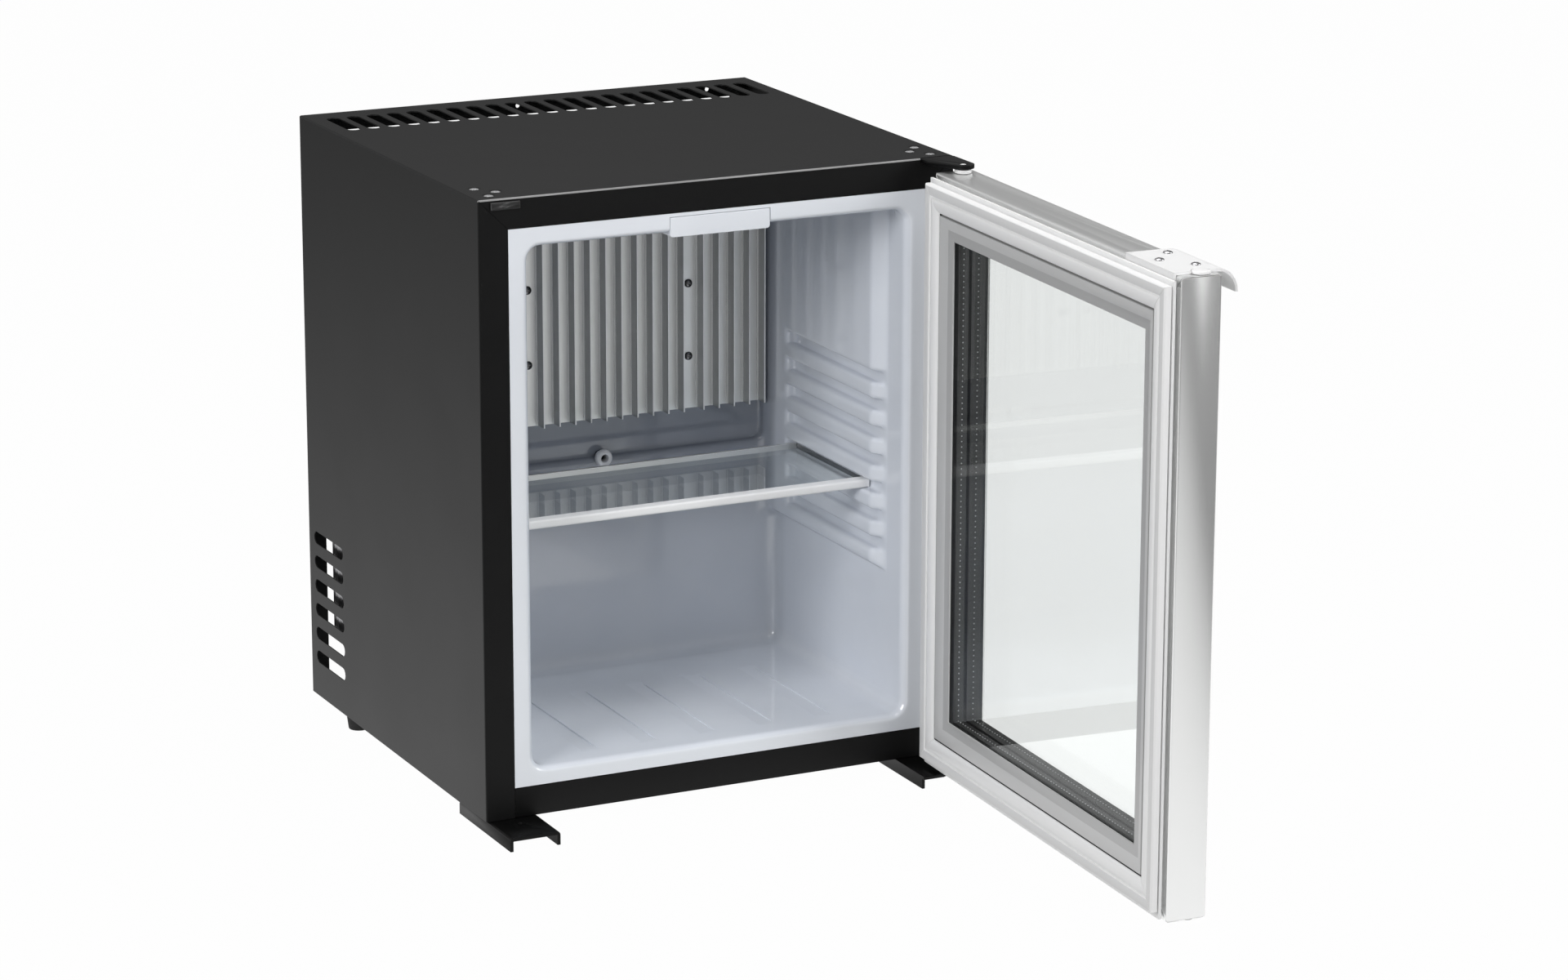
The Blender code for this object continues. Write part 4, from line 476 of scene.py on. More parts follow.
liner = {
    "half": 0.160, "floor": 0.0375, "ceiling": 0.4495, "back": 0.230, "corner": 0.010, "rearCorner": 0.010,
    "flangeHalf": 0.1767, "flangeLow": 0.0243, "flangeTop": 0.4647,
    "mouthFlare": 0.003, "mouthCurve": ((1.0, 0.0012), (0.45, 0.0032)),    # shares of the flare, their depths
    "padHalf": 0.151, "padStart": 0.030, "padEnd": 0.043, "padFoot": 0.149, "padFootRise": 0.006,
    "grooves": 7, "grooveLow": 0.1706, "groovePitch": 0.02275, "grooveHeight": 0.0094, "grooveHalf": 0.1597,
    "grooveEnd": 0.193, "grooveCorner": 0.004, "pocketHalf": 0.147, "pocketLow": 0.2135, "pocketTop": 0.4475,
    "pocketBack": 0.236, "pocketCorner": 0.008, "channels": 5, "channelPitch": 0.051, "channelWidth": 0.014,
    "channelDepth": 0.0009, "channelStart": 0.025, "channelEnd": 0.168, "channelRamp": 0.012, "skim": 0.0001,
    "lampGap": 0.00045, "lampCorner": 0.0030, "drainRadius": 0.004, "drainLength": 0.03,
    # The air starts in front of the flange, and its parts lap over each other
    "sheet": ((-0.182, 0.016), (0.182, 0.472)), "sheetLead": 0.008, "lead": 0.006, "trim": 0.003,
    "lap": 0.004, "grooveLap": 0.006, "pocketLap": 0.01, "planStart": 0.02,
    "voxel": 0.0016, "smoothing": 2, "keep": 0.16, "wall": 0.0014, "sharp": 50.0,
}
tiny = 1e-5                                    # below this two coordinates are the same


def rectangle(low, high):
    return [(low[0], low[1]), (high[0], low[1]), (high[0], high[1]), (low[0], high[1])]


def alongDepth(start, end):
    return abs(start.x - end.x) < tiny and abs(start.z - end.z) < tiny


def lowCorners(level):
    # A test for the edges along the depth that lie below a level
    return lambda start, end: alongDepth(start, end) and start.z < level


def upright(start, end):
    return abs(start.z - end.z) > 0.001


def linerAir():
    size = liner
    front = frontY
    lead, deep = front - size["lead"], front + size["back"]
    padStart, padEnd = front + size["padStart"], front + size["padEnd"]
    half, inner = size["half"], size["padHalf"]
    floor, ceiling = size["floor"], size["ceiling"]
    foot, footTop = size["padFoot"], size["padFoot"] + size["padFootRise"]

    def atBack(start, end):
        return min(start.y, end.y) > deep - tiny

    def lowAtBack(start, end):
        return atBack(start, end) and min(start.z, end.z) < foot + tiny

    def uprightAtBack(start, end):
        return atBack(start, end) and upright(start, end)

    def atCeiling(start, end):
        return min(start.z, end.z) > ceiling - tiny and max(start.y, end.y) > padStart + tiny

    slab = prism(rectangle(*size["sheet"]), front - size["sheetLead"], front, 1)
    # Below the pads the whole width is open, above them only the space between the pads
    low = [(-half, floor), (half, floor), (half, foot), (inner, footTop), (-inner, footTop), (-half, foot)]
    lowSpace = prism(low, lead, deep, 1, [
        (size["corner"], lowCorners(floor + tiny)), (size["rearCorner"], lowAtBack)])
    mouth = rectangle((-half, floor), (half, ceiling))
    frontSpace = prism(mouth, lead, padStart, 1, [(size["corner"], alongDepth)])
    plan = [(-half, padStart), (-half, front + size["planStart"]), (half, front + size["planStart"])]
    plan += [(half, padStart), (inner, padEnd), (inner, deep), (-inner, deep), (-inner, padEnd)]
    highSpace = prism(plan, foot - size["lap"], ceiling, 2, [
        (size["corner"] * 0.7, atCeiling), (size["rearCorner"], uprightAtBack)])
    parts = [slab, lowSpace, frontSpace, highSpace]

    # The mouth flares towards the front in two steps of a curve
    for share, depth in size["mouthCurve"]:
        flare = size["mouthFlare"] * share
        wide = rectangle((-half - flare, floor - flare * 0.5), (half + flare, ceiling + flare * 0.5))
        parts.append(prism(wide, lead, front + depth, 1, [(size["corner"] + flare, alongDepth)]))
    grooveHalf = size["grooveHeight"] / 2
    for index in range(size["grooves"]):
        level = size["grooveLow"] + index * size["groovePitch"]
        for side in (-1, 1):
            ends = sorted((side * (inner - size["lap"]), side * size["grooveHalf"]))
            box = rectangle((ends[0], padStart - size["grooveLap"]), (ends[1], front + size["grooveEnd"]))
            rounding = (size["grooveCorner"], upright)
            parts.append(prism(box, level - grooveHalf, level + grooveHalf, 2, [rounding]))
    pocket = rectangle((-size["pocketHalf"], size["pocketLow"]), (size["pocketHalf"], size["pocketTop"]))
    parts.append(prism(pocket, deep - size["pocketLap"], front + size["pocketBack"], 1, [
        (size["pocketCorner"], alongDepth)]))
    return joinedMesh("linerShell", parts)


def floorChannels():
    # Shallow channels in the floor, with a ramp at each end
    size = liner
    floor, ramp, reach = size["floor"], size["channelRamp"], size["channelWidth"] / 2
    low, level, top = floor - size["channelDepth"], floor + size["skim"], floor + size["lap"]
    start, end = frontY + size["channelStart"], frontY + size["channelEnd"]
    side = [(start, level), (start + ramp, low), (end - ramp, low), (end, level), (end, top), (start, top)]
    channels = []
    for index in range(size["channels"]):
        middle = (index - (size["channels"] - 1) / 2) * size["channelPitch"]
        channels.append(prism(side, middle - reach, middle + reach, 0))
    return channels


def linerOpenings():
    # Where the lamp cover and the drain collar come through
    size = liner
    low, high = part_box("lamp_cover")
    gap = size["lampGap"]
    space = rectangle((low.x - gap, low.z - gap), (high.x + gap, high.z + gap))
    rounding = (size["lampCorner"], lowCorners(high.z))
    space = prism(space, frontY - size["trim"], high.y + gap, 1, [rounding])
    low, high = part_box("drain_collar")
    hole = bmesh.new()
    lying = Matrix.Translation((low + high) / 2) @ Matrix.Rotation(math.radians(90.0), 4, "X")
    bmesh.ops.create_cone(hole, cap_ends=True, segments=24, radius1=size["drainRadius"],
                          radius2=size["drainRadius"], depth=size["drainLength"], matrix=lying)
    return [space, hole] + floorChannels()


def linerShell():
    size = liner
    piece = newPiece("linerShell", linerAir(), "liner")
    remesh = piece.modifiers.new("even", "REMESH")
    remesh.mode = "VOXEL"
    remesh.voxel_size = size["voxel"]
    smooth = piece.modifiers.new("drawn", "SMOOTH")
    smooth.factor = 0.5
    smooth.iterations = size["smoothing"]
    frozen(piece)
    work = bmesh.new()
    work.from_mesh(piece.data)
    edges = [((1, 0, 0), size["flangeHalf"]), ((-1, 0, 0), size["flangeHalf"])]
    edges += [((0, 0, 1), size["flangeTop"]), ((0, 0, -1), -size["flangeLow"])]
    for direction, distance in edges:
        everything = work.verts[:] + work.edges[:] + work.faces[:]
        bmesh.ops.bisect_plane(work, geom=everything, plane_co=Vector(direction) * distance,
                               plane_no=direction, clear_outer=True)
    outside = [vertex for vertex in work.verts if vertex.co.y < frontY - size["trim"]]
    bmesh.ops.delete(work, geom=outside, context="VERTS")
    bmesh.ops.reverse_faces(work, faces=work.faces)
    work.to_mesh(piece.data)
    work.free()
    thin = piece.modifiers.new("fewer", "DECIMATE")
    thin.ratio = size["keep"]
    wall = piece.modifiers.new("wall", "SOLIDIFY")
    wall.thickness = size["wall"]
    wall.offset = -1.0
    frozen(piece)
    carve(piece, linerOpenings())
    crisp(piece, size["sharp"])
    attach(piece, bodyOf["inner_liner"])
    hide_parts("inner_liner")
    print("liner made:", len(piece.data.polygons), "faces")


linerShell()


# Casing: folded sheet with mitre seams at its front corners and a dimple under each screw on its top

casing = {
    "half": 0.201, "top": 0.489, "frame": 0.024, "seamWidth": 0.00035, "seamDepth": 0.0004,
    "margin": 0.0004, "lead": 0.001, "fold": 0.0015, "dimpleRim": 0.0056, "dimpleFloor": 0.0042,
    "dimpleDepth": 0.00078,
    "screws": [(-0.1860, 0.0430), (-0.1750, 0.0276), (-0.1856, 0.0158),
               (0.1890, 0.0437), (0.1780, 0.0305), (0.1880, 0.0153)],
}


def seamsAndDimples():
    size = casing
    across = size["seamWidth"] / 2
    outer, inner = size["margin"], -size["frame"] - size["margin"]
    parts = []
    for side in (-1, 1):
        ends = [(side * (size["half"] + step), size["top"] + step) for step in (outer, inner)]
        seam = [(x + across, z - side * across) for x, z in ends]
        seam += [(x - across, z + side * across) for x, z in reversed(ends)]
        parts.append(prism(seam, frontY - size["lead"], frontY + size["seamDepth"], 1))
    for x, y in size["screws"]:
        dimple = bmesh.new()
        middle = Matrix.Translation((x, frontY + y, size["top"]))
        slope = size["dimpleRim"] - size["dimpleFloor"]
        bmesh.ops.create_cone(dimple, cap_ends=True, segments=28, radius1=size["dimpleFloor"],
                              radius2=size["dimpleRim"] + slope, depth=size["dimpleDepth"] * 2, matrix=middle)
        parts.append(dimple)
    return parts


def foldedCasing():
    piece = newPiece("foldedCasing", weldedCopy("casing_wrap"), "enamel")
    carve(piece, seamsAndDimples())
    piece.data.materials.append(finishes["paintedFoldHighlight"])
    piece.data.materials.append(finishes["frontEnamel"])
    for face in piece.data.polygons:
        if face.center.y < frontY + casing["fold"]:
            if face.normal.y < -0.9:
                face.material_index = 2
            # The rounded top fold gets a much paler black: a painted highlight along the fold
            if face.normal.z > 0.25 and face.normal.y < -0.25:
                face.material_index = 1
    crisp(piece, 35.0, True)
    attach(piece, "cabinet")
    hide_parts("casing_wrap")
    print("casing made:", len(piece.data.polygons), "faces")


foldedCasing()


# Pieces that keep the node's shape with softer edges

softEdges = {
    "lower_front_rail": 0.0006, "hinge_slot_plug": 0.0004, "drain_collar": 0.0008,
    "upper_hinge_bracket": 0.0004, "lower_bracket_right": 0.0005, "lower_bracket_left": 0.0005,
    "lower_hinge_pin": 0.0004, "rear_foot_left": 0.0010, "rear_foot_right": 0.0010,
    "door_rail_hinge": 0.0005, "door_rail_free": 0.0005, "door_rail_top": 0.0005,
    "door_rail_bottom": 0.0005, "hinge_bush_top": 0.0004, "hinge_bush_bottom": 0.0004,
    "free_plug_top": 0.0006, "free_plug_bottom": 0.0006,
}
for source, width in softEdges.items():
    words = source.split("_")
    name = words[0] + "".join(word.capitalize() for word in words[1:])
    piece = newPiece(name, weldedCopy(source), finishOf[source], bodyOf[source])
    roundEdges(piece, width, 3 if width > 0.0007 else 2)
    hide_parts(source)
print("softened pieces:", len(softEdges))


def doorHandle():
    # A folded strip, smooth round its curve and crisp at its edges
    piece = newPiece("doorHandle", weldedCopy("door_handle"), "whiteTrim", "door")
    crisp(piece, 35.0, True)
    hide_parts("door_handle")


def lampCover():
    # A shallow bar in the ceiling, its two lower corners rounded
    size = {"corner": 0.0026, "edge": 0.0006}
    low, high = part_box("lamp_cover")
    rounding = (size["corner"], lowCorners(high.z - tiny))
    bar = prism(rectangle((low.x, low.z), (high.x, high.z)), low.y, high.y, 1, [rounding])
    piece = newPiece("lampCover", bar, "liner", "cabinet")
    roundEdges(piece, size["edge"], 2, 60.0)
    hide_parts("lamp_cover")


shelf = {"noseRadius": 0.0016, "slot": 0.0050, "gap": 0.00005, "capOver": 0.0004, "capFront": 0.0028,
         "capEdge": 0.0004}


def shelfNose(low, high, under, over):
    # The section of the front trim: a rounded nose with a slot for the glass
    radius, gap = shelf["noseRadius"], shelf["gap"]
    front, back, inner = low.y, high.y, low.y + shelf["slot"]
    shape = [(back, high.z)]
    for middle, steps in ((high.z - radius, range(5)), (low.z + radius, range(4, 9))):
        for turn in (math.radians(step * 22.5) for step in steps):
            shape.append((front + radius - radius * math.sin(turn), middle + radius * math.cos(turn)))
    shape += [(back, low.z), (back, under - gap), (inner, under - gap)]
    return shape + [(inner, over + gap), (back, over + gap)]


def shelfPieces():
    # The glass is painted dark where its ground edges show: a painted shade
    low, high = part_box("shelf_glass")
    plate = prism(rectangle(low, high), low.z, high.z, 2)
    piece = newPiece("shelfGlass", plate, "shelfGlass", "shelf")
    piece.data.materials.append(finishes["glassEdgePaintedShade"])
    for face in piece.data.polygons:
        if abs(face.normal.z) < 0.5:
            face.material_index = 1
    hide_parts("shelf_glass")
    nose = prism(shelfNose(*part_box("shelf_front_trim"), low.z, high.z), low.x, high.x, 0)
    piece = newPiece("shelfFrontTrim", nose, "shelfTrim", "shelf")
    crisp(piece, 35.0)
    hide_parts("shelf_front_trim")
    back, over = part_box("shelf_rear_trim")[1].y, shelf["capOver"]
    shape = rectangle((back - shelf["capFront"], low.z - over), (back, high.z + over))
    trim = prism(shape, low.x, high.x, 0)
    piece = newPiece("shelfRearTrim", trim, "railAcross", "shelf")
    roundEdges(piece, shelf["capEdge"], 2)
    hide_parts("shelf_rear_trim")


doorHandle()
lampCover()
shelfPieces()


# Frames of the door: a profile of insets and depths, carried round a rectangle with mitred corners

doorPlace = Matrix.Translation(hinge) @ Matrix.Rotation(doorTurn, 4, "Z")
window = (0.0371, 0.3517, 0.0493, 0.4367)      # what the glazing leaves open: two widths, two heights
sealEdge = (-0.0022, 0.3910, 0.0100, 0.4760)
doorEdge = (-0.0090, 0.3932, 0.0014, 0.4817)


def insetLoops(edge, profile):
    # The edge's rectangle moved inwards by each amount of a profile in millimetres, with its depth
    left, right, low, high = edge
    loops = []
    for amount, depth in profile:
        step = amount / 1000
        loops.append(((left + step, right - step, low + step, high - step), depth / 1000))
    return loops


def doorCorners(edge, depth):
    left, right, low, high = edge
    return [(-across, depth, up) for across, up in rectangle((left, low), (right, high))]


def mitredFrame(name, key, profile):
    work = bmesh.new()
    loops = [[work.verts.new(spot) for spot in doorCorners(edge, depth)] for edge, depth in profile]
    for index, loop in enumerate(loops):
        after = loops[(index + 1) % len(loops)]
        for side in range(4):
            other = (side + 1) % 4
            work.faces.new((loop[side], loop[other], after[other], after[side]))
    bmesh.ops.recalc_face_normals(work, faces=work.faces)
    work.transform(doorPlace)
    piece = newPiece(name, work, key, "door")
    crisp(piece, 32.0)
    return piece


# Millimetres in from the edge, and towards the cabinet from the hinge line
gasketProfile = [
    (0.0, 26.3), (0.0, 30.5), (0.25, 31.15), (0.7, 31.55), (1.4, 31.7), (7.3, 31.5), (7.9, 31.25),
    (8.15, 30.8), (8.3, 30.0), (9.3, 30.0), (9.5, 30.6), (10.1, 30.95), (12.0, 31.1), (14.5, 30.95),
    (17.0, 30.45), (18.9, 29.7), (20.0, 28.9), (20.4, 28.3), (20.5, 26.3),
]
# the seal's flat is painted a darker grey than the rest of the seal: painted shade
gasketFlatPaintedShade = (4, 5)                            # the strips of the profile that are the flat of the seal
# the strip in the gap is painted black: painted shade in the gap
gasketShadow = 17                              # the strip that lines the gap beside the bead
crease = {"width": 0.0004, "deep": 0.0004, "overEnds": 0.001, "overTop": 0.002}    # at the seal's mitres
beadProfile = [
    (0.0, 24.3), (0.0, 25.3), (-0.4, 25.6), (-7.6, 25.9), (-8.0, 26.05), (-16.9, 29.0), (-17.4, 28.9),
    (-17.6, 28.4), (-17.6, 26.0),
]
beadBase = [                                   # the hidden base, its outer rib and the leg on the rails
    (9.5, 26.0), (9.5, 24.7), (2.6, 24.7), (2.6, 22.5), (9.5, 22.5), (9.5, 19.8), (13.5, 19.8), (13.5, 24.3),
]
# this facet is painted paler than the rest of the bead: painted light
beadFacetPaintedLight = 4                                  # the sloping facet beside the seal, a little paler
beadEdges = range(9, 16)                       # the pale strips seen past the seal, beside the rails


def stripFinishes(piece, keys):
    # A finish of its own for some of the profile's strips, four faces each
    order = sorted(set(keys.values()))
    for key in order:
        piece.data.materials.append(finishes[key])
    for index, face in enumerate(piece.data.polygons):
        if index // 4 in keys:
            face.material_index = order.index(keys[index // 4]) + 1


def mitreCreases(edge, profile):
    # A thin slab on each diagonal for the welded corners, its lower side along the profile
    left, right, low, high = edge
    outline = [(amount / 1000, depth / 1000 - crease["deep"]) for amount, depth in profile]
    first, last = outline[0], outline[-1]
    top = max(depth for amount, depth in outline) + crease["overTop"]
    start, end = first[0] - crease["overEnds"], last[0] + crease["overEnds"]
    outline = [(start, first[1])] + outline + [(end, last[1]), (end, top), (start, top)]
    work = bmesh.new()
    for across, up, toRight, toTop in ((left, low, 1, 1), (right, low, -1, 1), (right, high, -1, -1),
                                       (left, high, 1, -1)):
        sides = []
        for side in (-1, 1):
            shift = side * crease["width"] / 2 / math.sqrt(2.0)
            x, z = across + toTop * shift, up - toRight * shift
            spots = [(-(x + toRight * amount), depth, z + toTop * amount) for amount, depth in outline]
            sides.append([work.verts.new(spot) for spot in spots])
        closedBetween(work, *sides)
    bmesh.ops.recalc_face_normals(work, faces=work.faces)
    work.transform(doorPlace)
    return [work]


def doorFrames():
    seal = mitredFrame("doorGasket", "gasket", insetLoops(sealEdge, gasketProfile))
    # The seal's flat is painted a darker grey and the strip in its gap black: painted shade
    stripFinishes(seal, {strip: "gasketFlatPaintedShade" for strip in gasketFlatPaintedShade} | {gasketShadow: "rubber"})
    carve(seal, mitreCreases(sealEdge, gasketProfile[1:-1]))
    crisp(seal, 32.0)
    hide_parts("door_gasket")
    frame = mitredFrame("beadFrame", "bead", insetLoops(window, beadProfile) + insetLoops(doorEdge, beadBase))
    # The bead's sloping facet is painted paler: painted light
    stripFinishes(frame, {strip: "gasket" for strip in beadEdges} | {beadFacetPaintedLight: "beadFacetPaintedLight"})
    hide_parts("bead_frame")


doorFrames()
print("door frames made")


# Geometry Nodes: trees with named inputs, worked into plain meshes

def sizedTree(name, sizes):
    tree = bpy.data.node_groups.new(name, "GeometryNodeTree")
    tree.interface.new_socket("Geometry", in_out="INPUT", socket_type="NodeSocketGeometry")
    for label, value in sizes.items():
        kind = {int: "NodeSocketInt", float: "NodeSocketFloat", tuple: "NodeSocketVector"}[type(value)]
        tree.interface.new_socket(label, in_out="INPUT", socket_type=kind).default_value = value
    tree.interface.new_socket("Geometry", in_out="OUTPUT", socket_type="NodeSocketGeometry")
    inlet = tree.nodes.new("NodeGroupInput")
    return {item.name: Wire(tree, item) for item in inlet.outputs if item.name}


def vector(wire, x=0.0, y=0.0, z=0.0):
    return wire.node("ShaderNodeCombineXYZ", {"X": x, "Y": y, "Z": z})


def together(*shapes):
    made = shapes[0].node("GeometryNodeJoinGeometry")
    for shape in shapes:
        shape.tree.links.new(shape.socket, made.socket.node.inputs[0])
    return made


def shifted(shape, where, scale=(1.0, 1.0, 1.0)):
    return shape.node("GeometryNodeTransform", {"Geometry": shape, "Translation": where, "Scale": scale})


def cutBy(shape, other, operation="DIFFERENCE"):
    settings = {"operation": operation, "solver": "EXACT"}
    made = shape.node("GeometryNodeMeshBoolean", {"Mesh 2": other}, settings)
    inlet = "Mesh 1" if operation == "DIFFERENCE" else "Mesh 2"
    shape.tree.links.new(shape.socket, made.socket.node.inputs[inlet])
    return made


def closeTree(shape, key, choices=()):
    made = shape.node("GeometryNodeRealizeInstances", {"Geometry": shape})
    made = made.node("GeometryNodeSetMaterial", {"Geometry": made, "Material": finishes[key]})
    for mask, other in choices:
        values = {"Geometry": made, "Selection": mask, "Material": finishes[other]}
        made = made.node("GeometryNodeSetMaterial", values)
    outlet = shape.tree.nodes.new("NodeGroupOutput")
    shape.tree.links.new(made.socket, outlet.inputs[0])
    return shape.tree


def grown(name, seeds, edges, tree, sizes, body):
    mesh = bpy.data.meshes.new(name + "Seeds")
    mesh.from_pydata(seeds, edges, [])
    piece = newObject(name, mesh)
    growth = piece.modifiers.new("growth", "NODES")
    growth.node_group = tree
    for item in tree.interface.items_tree:
        if item.in_out == "INPUT" and item.name in sizes:
            growth[item.identifier] = sizes[item.name]
    frozen(piece)
    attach(piece, body)
    return piece


# Finned plate: an extrusion with upright fins, each on a low foot

fins = {
    "Fins": 21, "Pitch": 0.0139, "Channel": 0.0040, "Thickness": 0.0012, "Reach": 0.0120, "Height": 0.1940,
    "Foot Width": 0.0042, "Foot Depth": 0.0005, "Plate Width": 0.2928, "Plate Depth": 0.0020,
    "First": (0.1455, frontY + 0.2337, 0.2455), "Rounding": 0.00035,
}


def uprightBar(width, depth, height, rounding):
    outline = height.node("GeometryNodeCurvePrimitiveQuadrilateral", {"Width": width, "Height": depth})
    values = {"Curve": outline, "Count": 3, "Radius": rounding}
    outline = height.node("GeometryNodeFilletCurve", values, {"mode": "POLY"})
    flat = height.node("GeometryNodeFillCurve", {"Curve": outline}, {"mode": "NGONS"})
    values = {"Mesh": flat, "Offset Scale": height, "Individual": False}
    raised = height.node("GeometryNodeExtrudeMesh", values, {"mode": "FACES"})
    under = height.node("GeometryNodeFlipFaces", {"Mesh": flat})
    whole = together(raised, under)
    return height.node("GeometryNodeMergeByDistance", {"Geometry": whole, "Distance": 0.00001})


def finnedPlate():
    wideAfter = (4.5, 14.5)                    # two wider channels leave room for the screws
    sink, edgeDepth = 0.0003, 0.0009           # how far a blade sits in the plate, how deep its edge shines
    left, back = fins["First"][:2]
    size = sizedTree("finnedPlate", fins)
    wire = size["Pitch"]
    values = {"Count": size["Fins"], "Offset": vector(wire, 0.0 - size["Pitch"])}
    line = wire.node("GeometryNodeMeshLine", values)
    index = wire.node("GeometryNodeInputIndex")
    passed = wire.maths("GREATER_THAN", index, wideAfter[0]) + wire.maths("GREATER_THAN", index, wideAfter[1])
    values = {"Geometry": line, "Offset": vector(wire, 0.0 - passed * size["Channel"])}
    line = wire.node("GeometryNodeSetPosition", values)
    blade = uprightBar(size["Thickness"], size["Reach"], size["Height"], size["Rounding"])
    blade = shifted(blade, vector(wire, 0.0, 0.0 - size["Reach"] * 0.5 + sink))
    foot = uprightBar(size["Foot Width"], size["Foot Depth"] * 2.0, size["Height"], size["Rounding"])
    values = {"Points": line, "Instance": together(blade, foot)}
    line = wire.node("GeometryNodeInstanceOnPoints", values)
    plate = uprightBar(size["Plate Width"], size["Plate Depth"], size["Height"], size["Rounding"])
    plate = shifted(plate, vector(wire, -left, size["Plate Depth"] * 0.5))
    whole = shifted(together(line, plate), size["First"])
    # The blades' flanks get a darker copy of the metal, a painted shade, and their edges are bright
    sideways = axes(wire, wire.node("GeometryNodeInputNormal"))[0]
    flank = wire.maths("GREATER_THAN", wire.maths("ABSOLUTE", sideways), 0.9)
    depth = axes(wire, wire.node("GeometryNodeInputPosition"))[1]
    edge = wire.maths("LESS_THAN", depth, back - fins["Reach"] + edgeDepth)
    tree = closeTree(whole, "finMetal", [(flank, "finFlankPaintedShade"), (edge, "finEdge")])
    piece = grown("finnedPlate", [(0, 0, 0)], [], tree, fins, "cabinet")
    piece.data.shade_flat()
    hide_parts("evaporator_plate")


# Screws: one tree for all, a low dome with a cross recess and a shank under it

screwSizes = {
    "Radius": 0.0036, "Height": 0.0024, "Recess": 0.0040, "Blade": 0.0010, "Depth": 0.0010,
    "Shank Radius": 0.0016, "Shank Length": 0.0010, "Facing": (0.0, 0.0, 0.0),
}


def screwTree():
    size = sizedTree("crossScrew", screwSizes)
    wire = size["Radius"]
    ball = wire.node("GeometryNodeMeshUVSphere", {"Segments": 20, "Rings": 14, "Radius": 1.0})
    ball = shifted(ball, (0.0, 0.0, 0.0), vector(wire, size["Radius"], size["Radius"], size["Height"]))
    wide = size["Radius"] * 4.0
    room = wire.node("GeometryNodeMeshCube", {"Size": vector(wire, wide, wide, size["Height"] * 4.0)})
    head = cutBy(ball, shifted(room, vector(wire, 0.0, 0.0, size["Height"] * 2.0)), "INTERSECT")
    for along, across in ((size["Recess"], size["Blade"]), (size["Blade"], size["Recess"])):
        blade = wire.node("GeometryNodeMeshCube", {"Size": vector(wire, along, across, size["Depth"] * 2.0)})
        head = cutBy(head, shifted(blade, vector(wire, 0.0, 0.0, size["Height"])))
    values = {"Vertices": 12, "Radius": size["Shank Radius"], "Depth": size["Shank Length"]}
    shank = wire.node("GeometryNodeMeshCylinder", values)
    shank = shifted(shank, vector(wire, 0.0, 0.0, size["Shank Length"] * -0.5))
    turn = wire.node("FunctionNodeEulerToRotation", {"Euler": size["Facing"]})
    values = {"Points": size["Geometry"], "Instance": together(head, shank), "Rotation": turn}
    return closeTree(wire.node("GeometryNodeInstanceOnPoints", values), "screw")


def screwSet(tree, name, key, body, places, changes, stands=()):
    piece = grown(name, places, [], tree, {**screwSizes, **changes}, body)
    paint(piece, key)
    crisp(piece, 40.0)
    if stands:
        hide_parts(*stands)


def middleOf(source, axis, level):
    low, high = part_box(source)
    spot = (low + high) / 2
    spot[axis] = level
    return tuple(spot)


def allScrews():
    tree = screwTree()
    names = [f"evaporator_screw_{number}" for number in range(1, 5)]
    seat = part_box(names[0])[1].y
    places = [middleOf(name, 1, seat) for name in names]
    changes = {"Facing": (math.radians(90.0), 0.0, 0.0)}
    screwSet(tree, "evaporatorScrews", "screwHead", "cabinet", places, changes, names)
    names = [f"handle_screw_{number}" for number in range(1, 4)]
    low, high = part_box(names[0])
    rise = 0.0014                              # how high these heads stand on the handle
    seat = high.z - rise
    places = [middleOf(name, 2, seat) for name in names]
    changes = {"Height": rise, "Depth": 0.0007, "Shank Length": seat - low.z, "Facing": (0.0, 0.0, 0.4)}
    screwSet(tree, "handleScrews", "screw", "door", places, changes, names)
    seat = casing["top"] - casing["dimpleDepth"]
    places = [(x, frontY + y, seat) for x, y in casing["screws"]]
    changes = {"Height": casing["dimpleDepth"] - 0.00003, "Radius": 0.0037, "Recess": 0.0030,
               "Blade": 0.0007, "Depth": 0.0004, "Shank Length": 0.0001}
    screwSet(tree, "topScrews", "topScrew", "cabinet", places, changes)


# Spacers of the panes: a row of fine vents along each bar

dots = {"Pitch": 0.0044, "Dot Radius": 0.0006}
dotDepths = (0.0036, 0.01635)                  # of the two rows, from the hinge line


def spacerDots():
    size = sizedTree("spacerDots", dots)
    wire = size["Pitch"]
    line = wire.node("GeometryNodeMeshToCurve", {"Mesh": size["Geometry"]})
    values = {"Curve": line, "Length": size["Pitch"]}
    line = wire.node("GeometryNodeResampleCurve", values, {"mode": "LENGTH"})
    dot = wire.node("GeometryNodeMeshIcoSphere", {"Radius": size["Dot Radius"], "Subdivisions": 1})
    rows = wire.node("GeometryNodeInstanceOnPoints", {"Points": line, "Instance": dot})
    tree = closeTree(rows, "spacerDot")
    seeds, edges = [], []
    for depth in dotDepths:
        first = len(seeds)
        seeds += [tuple(doorPlace @ Vector(spot)) for spot in doorCorners(window, depth)]
        edges += [(first + step, first + (step + 1) % 4) for step in range(4)]
    grown("spacerDots", seeds, edges, tree, dots, "door")


finnedPlate()
allScrews()
spacerDots()
print("fins, screws and spacer dots made")


